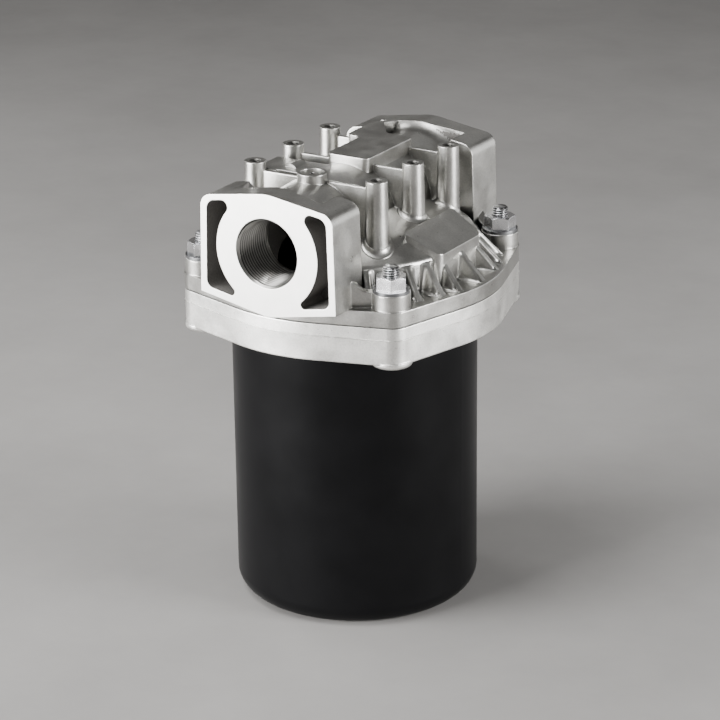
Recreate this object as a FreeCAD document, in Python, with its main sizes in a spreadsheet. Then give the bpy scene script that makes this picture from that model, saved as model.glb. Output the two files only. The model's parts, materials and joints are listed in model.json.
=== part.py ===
"""In-line low-pressure hydraulic filter: a die-cast head with two opposed threaded ports, a clamp
ring on four studs, a deep-drawn bowl, the filter element inside it and the bypass valve in the head.

Frame: millimetres, Z up, origin at the centre of the bowl's flat bottom. Y is the line through the
two ports, with the inlet facing -Y, and X runs to the right of someone who looks into the inlet.
"""
import FreeCAD, Part
import math
import os
import Sketcher
from FreeCAD import Rotation, Vector

DOC = FreeCAD.newDocument("hydraulic_filter")
SHEET = DOC.addObject("Spreadsheet::Sheet", "Sizes")

DRIVING = {
    # Bowl
    "bowl_radius": (76, "outside of the bowl's wall"),
    "bowl_wall": (3, "wall of the bowl"),
    "bowl_floor": (3.5, "thickness of the bowl's bottom"),
    "bowl_corner": (12, "outside radius where the wall turns into the bottom"),
    "lip_radius": (82, "outside of the bowl's lip, which the ring holds"),
    "lip_height": (6, "thickness of the bowl's lip"),
    "joint_height": (205, "height of the face where the head meets the bowl"),
    # Clamp ring and its studs
    "outline_radius": (94, "round sides of the flange and of the ring"),
    "corner_radius": (12, "round corners of the flange and of the ring"),
    "stud_place": (66, "each stud from the middle, along X and along Y"),
    "ring_gap": (0.5, "open line between the ring and the head"),
    "ring_height": (23, "thickness of the ring"),
    "ring_bore_gap": (0.5, "room between the ring and the bowl, all round"),
    "ring_seam_drop": (7.5, "mould line of the ring below its top"),
    "ring_draft": (1, "slope of the ring's sides in degrees"),
    "ring_boss_radius": (12.4, "stud boss under the ring"),
    "ring_boss_drop": (3, "stud boss below the ring"),
    "ring_boss_round": (2.4, "rounded lower edge of the stud boss"),
    "stud_radius": (5, "M10 stud"),
    "stud_seat": (20, "depth of the stud in the ring"),
    "stud_end": (5.5, "end of the stud above its nut"),
    "stud_clearance": (0.5, "room round a stud in the head and in its washer"),
    "stud_chamfer": (1, "chamfer on the stud's end"),
    "nut_across_flats": (17, "M10 nut"),
    "nut_height": (8, "thickness of the nut"),
    "washer_radius": (11, "outside of the washer"),
    "washer_height": (2, "thickness of the washer"),
    # Head: flange, drum and deck
    "flange_height": (9.5, "thickness of the head's flange"),
    "boss_radius": (11.5, "stud boss on the flange"),
    "boss_height": (9.5, "stud boss above the flange"),
    "drum_radius": (75, "outside of the drum over the bowl"),
    "drum_edge": (28, "edge of the deck above the joint"),
    "drum_round": (4, "rounding of the deck's edge"),
    "drum_foot": (3, "rounding between the drum and the flange"),
    "deck_bend": (58, "radius at which the deck becomes steeper"),
    "deck_bend_rise": (38.5, "height of that bend above the joint"),
    "deck_top_radius": (24, "radius of the deck's top, inside the tunnel"),
    "deck_top_rise": (50, "height of the deck's top above the joint"),
    "deck_wall": (7, "thickness of the deck and of the drum"),
    # Head: tunnel and port blocks
    "port_height": (40, "port axis above the joint"),
    "port_reach": (97, "port face from the middle"),
    "block_depth": (30, "depth of a port block"),
    "block_shoulder": (45.5, "half width of a port block at its shoulder"),
    "block_shoulder_rise": (29.5, "shoulder above the port axis"),
    "block_foot": (47, "half width of a port block at the flange"),
    "block_peak": (36.5, "peak of a port block above the port axis"),
    "block_round": (8, "rounded shoulder of a port block"),
    "block_peak_round": (34, "rounded peak of a port block"),
    "block_keel": (0.5, "lowest line of a port block above the joint"),
    "block_keel_round": (20, "rounding of that line"),
    "tunnel_radius": (31.5, "outside of the tunnel between the blocks"),
    "scoop_rim": (13, "solid rim of a port block in front of its scoop"),
    "scoop_round": (13, "concave radius from the rim down to the tunnel"),
    "scoop_angle": (88, "spread of the scoop about the port axis in degrees"),
    "thread_bore": (38.95, "minor diameter of the G 1 1/4 port thread"),
    "thread_major": (41.91, "major diameter of the G 1 1/4 port thread"),
    "thread_depth": (31, "depth of the port thread"),
    "port_chamfer": (0.4, "chamfer outside the thread's major diameter"),
    "bore_radius": (18.8, "passage behind the thread"),
    "pocket_depth": (22, "depth of the two cored pockets in a port face"),
    "pocket_ring": (35, "outside of the ring left round a port"),
    "pocket_side": (4.3, "wall between a pocket and the block's side"),
    "pocket_top": (3.6, "wall between a pocket and the block's top"),
    "pocket_base": (4.6, "wall between a pocket and the block's lower edge"),
    "pocket_top_in": (4, "rounding of a pocket between the ring and the top"),
    "pocket_top_out": (6, "rounding of a pocket at the top outside"),
    "pocket_base_out": (5, "rounding of a pocket at the bottom outside"),
    "pocket_base_in": (2.5, "rounding of a pocket between the ring and the bottom"),
    # Head: posts, webs, pads and gussets
    "post_pitch": (42.5, "pitch of the six posts along Y, and half their width along X"),
    "post_top": (76.5, "top of the posts above the joint"),
    "post_radius": (6.5, "post at its top"),
    "post_draft": (1, "slope of a post in degrees"),
    "post_root": (29, "lower end of the posts above the joint, inside the deck"),
    "post_hole": (2.5, "M6 thread's bore in a post"),
    "post_hole_depth": (15, "depth of that bore"),
    "web_drop": (5.2, "top of the webs below the top of the posts"),
    "web_top": (2.4, "thickness of a web at its top"),
    "web_foot": (5.6, "thickness of a web at its foot"),
    "web_root": (27, "foot of the webs above the joint, inside the deck"),
    "pad_left": (13.5, "left edge of the pad on the tunnel from the middle"),
    "pad_right": (15.5, "right edge of the pad from the middle"),
    "pad_front": (-8.5, "front edge of the pad"),
    "pad_back": (47, "rear edge of the pad"),
    "pad_root": (56, "lower side of the pad above the joint, inside the tunnel"),
    "pad_round": (4, "rounded corners of the pad"),
    "neck_start": (32, "where the neck leaves the pad's left side"),
    "neck_left": (24, "left side of the pad's neck to the rear port block"),
    "neck_right": (4, "right side of that neck at the pad"),
    "neck_tip": (17, "right side of that neck at the block"),
    "neck_turn": (66, "where its right side turns back along the neck"),
    "cap_radius": (9, "round boss on the tunnel"),
    "cap_place": (46, "round boss in front of the middle"),
    "cap_dish": (0.9, "depth of the dish in the round boss"),
    "cap_hole": (1.5, "small centre hole in the dish"),
    "gauge_near": (-12, "rear side of the blank gauge block"),
    "gauge_far": (-35, "front side of the blank gauge block"),
    "gauge_reach": (46, "outer side of the gauge block from the middle"),
    "gauge_rise": (70.5, "top of the gauge block above the joint"),
    "gauge_boss": (9, "round blank boss on the gauge block"),
    "gauge_boss_reach": (2.5, "round blank boss in front of the gauge block"),
    "lug_radius": (5.5, "half-round lug on the tunnel's left shoulder"),
    "lug_side": (27, "lugs from the middle"),
    "lug_rise": (67, "axis of the lugs above the joint"),
    "lug_round": (5.4, "rounding of a lug's top"),
    "lug_length": (12, "length of a lug"),
    "lug_front": (-28, "front end of the first lug"),
    "lug_back": (48, "front end of the second lug"),
    "plate_inner": (52.3, "inner edge of the bare plate on the right shoulder"),
    "plate_outer": (75.8, "outer edge of that plate"),
    "plate_half_inner": (29, "half length of that plate at its inner edge"),
    "plate_half_outer": (24.5, "half length of that plate at its outer edge"),
    "plate_rise": (42, "inner edge of that plate above the joint"),
    "plate_fall": (26.8, "slope of that plate in degrees"),
    "plate_round_inner": (3, "rounded inner corners of that plate"),
    "plate_round_outer": (5, "rounded outer corners of that plate"),
    "plate_depth": (24, "how far that plate's upright walls run down"),
    "gusset_reach": (91.5, "foot of a gusset from the middle"),
    "gusset_rise": (26.6, "top of a gusset above the joint"),
    "gusset_step": (0.4, "level top of a gusset beyond the drum's wall"),
    "gusset_width": (3, "thickness of a gusset"),
    "gusset_first": (14.6, "first gusset from the middle one, in degrees"),
    "gusset_second": (23.2, "second gusset"),
    "gusset_third": (33.6, "third gusset"),
    "gusset_fourth": (53, "fourth gusset, between a stud and a port block"),
    "apron_rise": (27, "low wall at the port block, above the joint"),
    "apron_width": (6, "thickness of that low wall"),
    "apron_angle": (27, "that wall in plan, from the X axis in degrees"),
    "apron_flat": (16, "end of its level part from the stud's axis"),
    "apron_slope": (25, "end of its sloping part from the stud's axis"),
    "apron_round": (8, "rounding between its level and its sloping part"),
    # Head: inside
    "hub_radius": (34, "hub round the outlet well"),
    "hub_drop": (5, "shoulder of the hub below the joint"),
    "spigot_radius": (24, "spigot that the element slides on"),
    "spigot_drop": (22, "end of the spigot below the joint"),
    "well_radius": (20, "vertical well inside the spigot"),
    "well_top": (45, "top of the well above the joint"),
    "duct_wall": (5.5, "wall of the outlet duct inside the head"),
    "partition_front": (32, "inlet side of the wall that carries the bypass valve"),
    "partition": (8, "thickness of that wall"),
    "spotface_radius": (17, "flat seat round the bypass valve"),
    "groove_radius": (75.6, "inner side of the bowl seal's groove"),
    "groove_width": (4.6, "width of that groove"),
    "groove_depth": (2.6, "depth of that groove"),
    # Element
    "element_radius": (58, "outside of the element's end caps"),
    "element_foot": (38, "underside of the lower end cap"),
    "cap_sheet": (2, "sheet of the end caps"),
    "cap_rim": (1.5, "rim of the end caps"),
    "cap_rim_height": (9, "height of the end caps with their rims"),
    "cap_hub_radius": (33, "hub of the upper end cap"),
    "cap_hub_height": (12, "height of that hub"),
    "spigot_gap": (0.4, "room between the spigot and the element"),
    "seal_width": (3, "radial thickness of the element seal"),
    "seal_height": (4, "height of the element seal"),
    "seal_side": (0.2, "room above and below the element seal"),
    "media_gap": (0.8, "room between the pleats and the rim of the end caps"),
    "media_depth": (25, "depth of a pleat"),
    "media_fold": (5, "the sheet at a fold, along the radius"),
    "pleats": (40, "number of pleats"),
    "tube_gap": (0.5, "room between the pleats and the support tube"),
    "tube_wall": (1.5, "wall of the support tube"),
    "tube_hole": (4.5, "radius of a hole in the support tube"),
    "tube_rows": (4, "rows of holes in the support tube"),
    "tube_holes": (6, "holes in each row"),
    "spring_radius": (25, "mean radius of the element spring"),
    "spring_wire": (4, "wire of the element spring"),
    "spring_turns": (3.5, "turns of the element spring"),
    "spring_plate_radius": (32, "spring plate"),
    "spring_plate_sheet": (2, "sheet of the spring plate"),
    "spring_plate_hole": (12, "hole in the spring plate"),
    # Bypass valve
    "seat_bore": (10, "opening of the valve seat"),
    "seat_radius": (13, "valve seat in the partition"),
    "seat_flange_radius": (16, "flange of the valve seat"),
    "seat_flange": (3, "thickness of that flange"),
    "gasket_sheet": (1, "thickness of the gasket under that flange"),
    "poppet_radius": (12.2, "poppet disc"),
    "poppet_disc": (3, "thickness of the disc"),
    "poppet_stem": (3, "radius of the stem"),
    "poppet_stem_length": (33, "length of the stem behind the disc"),
    "cage_length": (26, "valve cage behind the seat"),
    "cage_sheet": (2, "sheet of the valve cage"),
    "cage_inner": (14, "inside radius of the cage's legs"),
    "cage_legs": (3, "legs of the cage"),
    "cage_leg_width": (7, "width of a leg"),
    "cage_gap": (0.3, "room round the stem in the cage"),
    "valve_spring_radius": (7.5, "mean radius of the valve spring"),
    "valve_spring_wire": (1.6, "wire of the valve spring"),
    "valve_spring_turns": (4.5, "turns of the valve spring"),
    "clip_radius": (5, "clip on the stem"),
    "clip_sheet": (1, "thickness of that clip"),
    "clip_gap": (0.5, "room between the clip and the cage when the valve is shut"),
    "clip_groove": (0.8, "depth of the clip's groove"),
    # Making
    "overcut": (1, "how far a cut runs past the metal, or a root into it"),
}


class Size:
    """A length that carries its spreadsheet formula and its present value in millimetres."""

    def __init__(self, formula, value):
        self.formula = formula
        self.value = value

    def __add__(self, other):
        other = as_size(other)
        return Size(f"({self.formula} + {other.formula})", self.value + other.value)

    def __radd__(self, other):
        return as_size(other) + self

    def __sub__(self, other):
        other = as_size(other)
        return Size(f"({self.formula} - {other.formula})", self.value - other.value)

    def __rsub__(self, other):
        return as_size(other) - self

    def __mul__(self, other):
        other = as_size(other)
        return Size(f"({self.formula} * {other.formula})", self.value * other.value)

    def __rmul__(self, other):
        return as_size(other) * self

    def __truediv__(self, other):
        other = as_size(other)
        return Size(f"({self.formula} / {other.formula})", self.value / other.value)

    def __neg__(self):
        return Size(f"(0 - {self.formula})", -self.value)


def as_size(number):
    """A plain number as a size, so that formulas may mix the two."""
    return number if isinstance(number, Size) else Size(f"{float(number)}", float(number))


def wave(function, degrees):
    """The sine, cosine or tangent of an angle in degrees, as a size without a unit."""
    angle = as_size(degrees)
    value = getattr(math, function)(math.radians(angle.value))
    return Size(f"{function}({angle.formula})", value)


def fill_sheet():
    """Write each driving dimension into its own row: name, number and meaning."""
    for row, (alias, (number, meaning)) in enumerate(DRIVING.items(), start=1):
        SHEET.set(f"A{row}", alias)
        SHEET.set(f"B{row}", f"{number}")
        SHEET.setAlias(f"B{row}", alias)
        SHEET.set(f"C{row}", meaning)
    DOC.recompute()


def size(alias):
    """A driving dimension from the sheet."""
    return Size(f"Sizes.{alias}", float(SHEET.get(alias)))


def bind(thing, **sizes):
    """Tie properties of an object to formulas over the sheet."""
    for name, value in sizes.items():
        thing.setExpression(name.replace("__", "."), as_size(value).formula)
    return thing


# Sketches


def origin_plane(body, role):
    """One of a body's own origin planes."""
    return next(item for item in body.Origin.OriginFeatures if item.Role == role)


def sketch_on(body, role, name, off=0, up=0, turn=None):
    """An empty sketch on a body's origin plane, moved off along its normal and up along its own Y."""
    sketch = body.newObject("Sketcher::SketchObject", name)
    sketch.AttachmentSupport = (origin_plane(body, role), [""])
    sketch.MapMode = "FlatFace"
    bind(sketch, AttachmentOffset__Base__z=off, AttachmentOffset__Base__y=up)
    if turn:
        axis, angle = turn
        sketch.AttachmentOffset = FreeCAD.Placement(Vector(), Rotation(axis, as_size(angle).value))
        bind(sketch, AttachmentOffset__Rotation__Angle=angle)
    return sketch


def fix_point(sketch, item, end, x, y):
    """Hold a sketch point at (x, y)."""
    for kind, axis, value in (("DistanceX", -2, as_size(x)), ("DistanceY", -1, as_size(y))):
        if value.formula == "0.0":
            sketch.addConstraint(Sketcher.Constraint("PointOnObject", item, end, axis))
            continue
        index = sketch.addConstraint(Sketcher.Constraint(kind, -1, 1, item, end, value.value))
        sketch.setExpression(f"Constraints[{index}]", value.formula)


def fix_radius(sketch, item, radius):
    """Hold the radius of a circle or an arc."""
    radius = as_size(radius)
    index = sketch.addConstraint(Sketcher.Constraint("Radius", item, radius.value))
    sketch.setExpression(f"Constraints[{index}]", radius.formula)


def circle(sketch, x, y, radius):
    """A full circle."""
    centre = Vector(as_size(x).value, as_size(y).value, 0)
    item = sketch.addGeometry(Part.Circle(centre, Vector(0, 0, 1), as_size(radius).value), False)
    fix_point(sketch, item, 3, x, y)
    fix_radius(sketch, item, radius)


def arc_between(centre, radius, start, end):
    """An arc from one point to another, counted anticlockwise about its centre."""
    first = math.atan2(start.y - centre.y, start.x - centre.x)
    last = math.atan2(end.y - centre.y, end.x - centre.x)
    if last <= first:
        last += 2 * math.pi
    return Part.ArcOfCircle(Part.Circle(centre, Vector(0, 0, 1), radius), first, last)


def chain(sketch, pieces):
    """Lines and arcs end to end, tangent where they meet.

    A piece is (start, end), or (start, end, centre, left) for an arc that turns left or right.
    """
    items, ends = [], []
    for piece in pieces:
        if len(piece) == 2:
            shape, left = Part.LineSegment(*piece), True
        else:
            start, end, centre, left = piece
            points = (start, end) if left else (end, start)
            shape = arc_between(centre, (start - centre).Length, *points)
        items.append(sketch.addGeometry(shape, False))
        ends.append((1, 2) if left else (2, 1))
    for i in range(len(items)):
        sketch.addConstraint(
            Sketcher.Constraint("Tangent", items[i - 1], ends[i - 1][1], items[i], ends[i][0])
        )
    return items


def outline(sketch, corners):
    """A closed outline of straight sides. Each corner is (x, y) or (x, y, rounding radius)."""
    spots = [Vector(as_size(c[0]).value, as_size(c[1]).value, 0) for c in corners]
    count = len(corners)
    leave, arrive, rounds = {}, {}, {}
    for i, corner in enumerate(corners):
        spot, before, after = spots[i], spots[i - 1], spots[(i + 1) % count]
        leave[i] = arrive[i] = spot
        if len(corner) == 3:
            back, ahead = (before - spot).normalize(), (after - spot).normalize()
            half = back.getAngle(ahead) / 2
            radius = as_size(corner[2]).value
            arrive[i] = spot + back * (radius / math.tan(half))
            leave[i] = spot + ahead * (radius / math.tan(half))
            centre = spot + (back + ahead).normalize() * (radius / math.sin(half))
            left = (spot - before).cross(after - spot).z > 0
            ends = (arrive[i], leave[i]) if left else (leave[i], arrive[i])
            rounds[i] = (arc_between(centre, radius, *ends), left)
    sides = [
        sketch.addGeometry(Part.LineSegment(leave[i], arrive[(i + 1) % count]), False)
        for i in range(count)
    ]
    for i, corner in enumerate(corners):
        if i not in rounds:
            sketch.addConstraint(Sketcher.Constraint("Coincident", sides[i - 1], 2, sides[i], 1))
            fix_point(sketch, sides[i], 1, corner[0], corner[1])
            continue
        shape, left = rounds[i]
        arc = sketch.addGeometry(shape, False)
        first, last = (1, 2) if left else (2, 1)
        sketch.addConstraint(Sketcher.Constraint("Tangent", sides[i - 1], 2, arc, first))
        sketch.addConstraint(Sketcher.Constraint("Tangent", arc, last, sides[i], 1))
        fix_radius(sketch, arc, corner[2])
        tip = sketch.addGeometry(Part.Point(spots[i]), True)
        sketch.addConstraint(Sketcher.Constraint("PointOnObject", tip, 1, sides[i - 1]))
        sketch.addConstraint(Sketcher.Constraint("PointOnObject", tip, 1, sides[i]))
        fix_point(sketch, tip, 1, corner[0], corner[1])
    return sketch


def rectangle(sketch, left, low, right, high):
    """A rectangle with sharp corners."""
    return outline(sketch, [(left, low), (right, low), (right, high), (left, high)])


def flange_outline(sketch):
    """The outline of flange and ring: a circle joined by tangents to a small circle at each stud."""
    big, small, reach = size("outline_radius"), size("corner_radius"), size("stud_place")
    far = reach.value * math.sqrt(2)
    lean = math.acos((big.value - small.value) / far)
    sides, corners, rounds = [], [], []
    for quarter in range(4):
        middle = math.radians(45 + 90 * quarter)
        knob = Vector(far * math.cos(middle), far * math.sin(middle), 0)
        for sign in (-1, 1):
            way = Vector(math.cos(middle + sign * lean), math.sin(middle + sign * lean), 0)
            ends = [way * big.value, knob + way * small.value]
            sides.append(ends if sign < 0 else ends[::-1])
        corners.append(arc_between(knob, small.value, sides[-2][1], sides[-1][0]))
    for quarter in range(4):
        start, end = sides[2 * quarter - 1][1], sides[2 * quarter][0]
        rounds.append(arc_between(Vector(), big.value, start, end))
    side_items = [sketch.addGeometry(Part.LineSegment(*ends), False) for ends in sides]
    corner_items = [sketch.addGeometry(shape, False) for shape in corners]
    round_items = [sketch.addGeometry(shape, False) for shape in rounds]
    signs = [(1, 1), (-1, 1), (-1, -1), (1, -1)]
    for quarter, (across, along) in enumerate(signs):
        before, after = side_items[2 * quarter], side_items[2 * quarter + 1]
        knob, arc = corner_items[quarter], round_items[quarter]
        last = side_items[2 * quarter - 1]
        sketch.addConstraint(Sketcher.Constraint("Tangent", before, 2, knob, 1))
        sketch.addConstraint(Sketcher.Constraint("Tangent", knob, 2, after, 1))
        sketch.addConstraint(Sketcher.Constraint("Tangent", arc, 2, before, 1))
        sketch.addConstraint(Sketcher.Constraint("Tangent", last, 2, arc, 1))
        sketch.addConstraint(Sketcher.Constraint("Coincident", arc, 3, -1, 1))
        fix_point(sketch, knob, 3, across * reach, along * reach)
        fix_radius(sketch, knob, small)
        fix_radius(sketch, arc, big)
    return sketch


# Features


def new_body(name):
    """A body whose label names its file."""
    body = DOC.addObject("PartDesign::Body", name)
    body.Label = name
    return body


def pad(body, sketch, length, down=False, both=False, taper=None):
    """Add the sketch's area along its normal, against it, or half each way."""
    feature = body.newObject("PartDesign::Pad", f"{sketch.Name}_pad")
    feature.Profile = sketch
    feature.Refine = False
    bind(feature, Length=length)
    feature.Reversed = down
    feature.Midplane = both
    if taper is not None:
        bind(feature, TaperAngle=taper)
    return feature


def pocket(body, sketch, length, up=False, both=False):
    """Take the sketch's area away, against its normal unless up is true."""
    feature = body.newObject("PartDesign::Pocket", f"{sketch.Name}_pocket")
    feature.Profile = sketch
    feature.Refine = False
    bind(feature, Length=length)
    feature.Reversed = up
    feature.Midplane = both
    return feature


def turned(body, sketch, kind="Revolution", axis="V_Axis", angle=360, both=False):
    """Turn the sketch about one of its own axes, to add or with Groove to take away."""
    feature = body.newObject(f"PartDesign::{kind}", f"{sketch.Name}_{kind.lower()}")
    feature.Profile = sketch
    feature.Refine = False
    feature.ReferenceAxis = (sketch, [axis])
    feature.Midplane = both
    bind(feature, Angle=angle)
    return feature


def mirrored(body, features, role):
    """Repeat features on the other side of an origin plane."""
    feature = body.newObject("PartDesign::Mirrored", f"{features[0].Name}_mirrored")
    feature.Originals = features
    feature.Refine = False
    feature.MirrorPlane = (origin_plane(body, role), [""])
    body.Tip = feature
    return feature


def repeated(body, features, role, angle, count):
    """Repeat features round an origin axis over an angle."""
    feature = body.newObject("PartDesign::PolarPattern", f"{features[0].Name}_repeated")
    feature.Originals = features
    feature.Refine = False
    feature.Axis = (origin_plane(body, role), [""])
    bind(feature, Angle=angle, Occurrences=count)
    body.Tip = feature
    return feature


# Bowl and clamp ring


def bowl():
    """Deep-drawn can with a rounded bottom edge and a thick turned-out lip."""
    body = new_body("bowl")
    outer, wall, floor = size("bowl_radius"), size("bowl_wall"), size("bowl_floor")
    top, lip = size("joint_height"), size("lip_radius")
    under = top - size("lip_height")
    sketch = sketch_on(body, "XZ_Plane", "bowl_section")
    outline(sketch, [
        (0, 0), (outer, 0, size("bowl_corner")), (outer, under), (lip, under), (lip, top),
        (outer - wall, top), (outer - wall, floor, size("bowl_corner") - wall), (0, floor),
    ])
    turned(body, sketch)
    return body


def stud_places():
    """The stud axes as (x, y)."""
    reach = size("stud_place")
    return [(x * reach, y * reach) for x in (-1, 1) for y in (-1, 1)]


def stud_sketch(body, name, height, along=-1, turn=0):
    """An upright sketch through the axis of a right-hand stud, the front one for along -1."""
    reach = size("stud_place")
    sketch = sketch_on(body, "XZ_Plane", name, -along * reach, height, (Vector(0, 1, 0), as_size(turn)))
    bind(sketch, AttachmentOffset__Base__x=reach)
    return sketch


def stack_top():
    """The underside of the nuts, on the washers."""
    flange = size("flange_height") + size("boss_height")
    return size("joint_height") + flange + size("washer_height")


def element_hub_top():
    """The top of the element's hub, against the shoulder of the head."""
    return size("joint_height") - size("hub_drop")


def seal_band():
    """The lower and the upper side of the element seal, in the middle of the hub."""
    middle = element_hub_top() - size("cap_hub_height") / 2
    return middle - size("seal_height") / 2, middle + size("seal_height") / 2


def media_top():
    """The underside of the upper end cap's plate."""
    return element_hub_top() - size("cap_hub_height") - size("cap_sheet")


def media_inner():
    """The inner folds of the pleats."""
    return size("element_radius") - size("cap_rim") - size("media_gap") - size("media_depth")


def seat_face():
    """The rear face of the valve seat, which the poppet closes."""
    return size("partition") - size("partition_front") + size("gasket_sheet") + size("seat_flange")


def clip_place():
    """The front face of the clip, just behind the bridge of the cage."""
    return seat_face() + size("cage_length") + size("clip_gap")


def clamp_ring():
    """Cast ring with drafted sides, a ledge for the bowl's lip and four blind stud bosses."""
    body = new_body("clamp_ring")
    top = size("joint_height") - size("ring_gap")
    seam = top - size("ring_seam_drop")
    base = top - size("ring_height")
    draft = -size("ring_draft")
    pad(body, flange_outline(sketch_on(body, "XY_Plane", "ring_upper", seam)),
        size("ring_seam_drop"), taper=draft)
    pad(body, flange_outline(sketch_on(body, "XY_Plane", "ring_lower", seam)),
        size("ring_height") - size("ring_seam_drop"), down=True, taper=draft)
    boss = stud_sketch(body, "ring_boss", base)
    radius, low, root = size("ring_boss_radius"), -size("ring_boss_drop"), size("overcut")
    outline(boss, [(0, low), (radius, low, size("ring_boss_round")), (radius, root), (0, root)])
    repeated(body, [turned(body, boss)], "Z_Axis", 360, 4)
    bore = sketch_on(body, "XY_Plane", "ring_bore", top)
    circle(bore, 0, 0, size("bowl_radius") + size("ring_bore_gap"))
    pocket(body, bore, size("ring_height") * 2)
    ledge = sketch_on(body, "XY_Plane", "ring_ledge", top)
    circle(ledge, 0, 0, size("lip_radius") + size("ring_bore_gap"))
    pocket(body, ledge, size("lip_height") - size("ring_gap"))
    holes = sketch_on(body, "XY_Plane", "ring_stud_holes", top)
    for x, y in stud_places():
        circle(holes, x, y, size("stud_radius"))
    pocket(body, holes, size("stud_seat"))
    return body


# Head


def flange_and_drum(body):
    """The flange, the stud bosses on it, and the drum with its conical deck."""
    joint, flange = size("joint_height"), size("flange_height")
    pad(body, flange_outline(sketch_on(body, "XY_Plane", "flange", joint)), flange)
    bosses = sketch_on(body, "XY_Plane", "flange_bosses", joint)
    for x, y in stud_places():
        circle(bosses, x, y, size("boss_radius"))
    pad(body, bosses, flange + size("boss_height"))
    drum, foot = size("drum_radius"), size("drum_radius") + size("drum_foot") * 2
    deck = sketch_on(body, "XZ_Plane", "drum", up=joint)
    outline(deck, [
        (0, 0), (foot, 0), (foot, flange), (drum, flange, size("drum_foot")),
        (drum, size("drum_edge"), size("drum_round")), (size("deck_bend"), size("deck_bend_rise")),
        (size("deck_top_radius"), size("deck_top_rise")), (0, size("deck_top_rise")),
    ])
    turned(body, deck)


def crescent(sketch, side):
    """One cored pocket of a port face, on the right for side 1 and on the left for side -1.

    It runs between the ring round the port, the block's roof, its side and its lower edge.
    """
    ring = size("pocket_ring")
    shoulder, foot = size("block_shoulder"), size("block_foot")
    peak, keel = size("block_peak"), size("block_keel") - size("port_height")
    low_corner = size("flange_height") - size("port_height")
    roof_slope = (peak - size("block_shoulder_rise")) / shoulder
    base_slope = (low_corner - keel) / foot
    top_x, base_x = shoulder - size("pocket_side"), foot - size("pocket_side")
    roof, base = peak - size("pocket_top"), keel + size("pocket_base")
    tips = [
        (0, base), (base_x, base + base_slope * base_x),
        (top_x, roof - roof_slope * top_x), (0, roof),
    ]
    rounds = [size(f"pocket_{name}") for name in ("base_in", "base_out", "top_out", "top_in")]
    spots = [Vector(as_size(x).value, as_size(y).value, 0) for x, y in tips]
    pieces, arrive = [], None
    ways = [(spots[i + 1] - spots[i]).normalize() for i in range(3)]
    lefts = [Vector(-way.y, way.x, 0) for way in ways]
    centres = [ring_corner(spots[0], ways[0], lefts[0], ring.value, rounds[0].value, 1)]
    for i in (1, 2):
        half = (-ways[i - 1]).getAngle(ways[i]) / 2
        middle = (ways[i] - ways[i - 1]).normalize()
        centres.append(spots[i] + middle * (rounds[i].value / math.sin(half)))
    centres.append(ring_corner(spots[3], -ways[2], lefts[2], ring.value, rounds[3].value, 1))
    for i, way in enumerate(ways):
        start = centres[i] - lefts[i] * rounds[i].value
        end = centres[i + 1] - lefts[i] * rounds[i + 1].value
        if arrive:
            pieces.append((arrive, start, centres[i], True))
        pieces.append((start, end))
        arrive = end
    touch_top = centres[3] * (ring.value / centres[3].Length)
    touch_base = centres[0] * (ring.value / centres[0].Length)
    pieces.append((arrive, touch_top, centres[3], True))
    pieces.append((touch_top, touch_base, Vector(), False))
    pieces.append((touch_base, pieces[0][0], centres[0], True))
    if side < 0:
        pieces = [flipped(piece) for piece in reversed(pieces)]
    items = chain(sketch, pieces)
    if side < 0:
        items = items[::-1]
    base_line, base_out, side_line, top_out, roof_line, top_in, ring_arc, base_in = items
    for item, radius in zip((base_in, base_out, top_out, top_in), rounds):
        fix_radius(sketch, item, radius)
    sketch.addConstraint(Sketcher.Constraint("Coincident", ring_arc, 3, -1, 1))
    fix_radius(sketch, ring_arc, ring)
    lines = [(base_line,), (base_line, side_line), (side_line, roof_line), (roof_line,)]
    for (x, y), spot, owners in zip(tips, spots, lines):
        tip = sketch.addGeometry(Part.Point(Vector(side * spot.x, spot.y, 0)), True)
        for owner in owners:
            sketch.addConstraint(Sketcher.Constraint("PointOnObject", tip, 1, owner))
        fix_point(sketch, tip, 1, side * as_size(x), y)


def ring_corner(spot, way, left, ring, radius, outside):
    """The centre of a rounding between a line and the outside of a ring about the origin."""
    start = spot + left * radius
    along = -start.dot(way)
    across = (start + way * along).Length
    return start + way * (along + outside * math.sqrt((ring + radius) ** 2 - across ** 2))


def flipped(piece):
    """A piece of outline seen in a mirror, and run the other way."""
    points = [Vector(-point.x, point.y, 0) for point in piece[:3]]
    points[0], points[1] = points[1], points[0]
    return (*points, *piece[3:])


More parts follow.
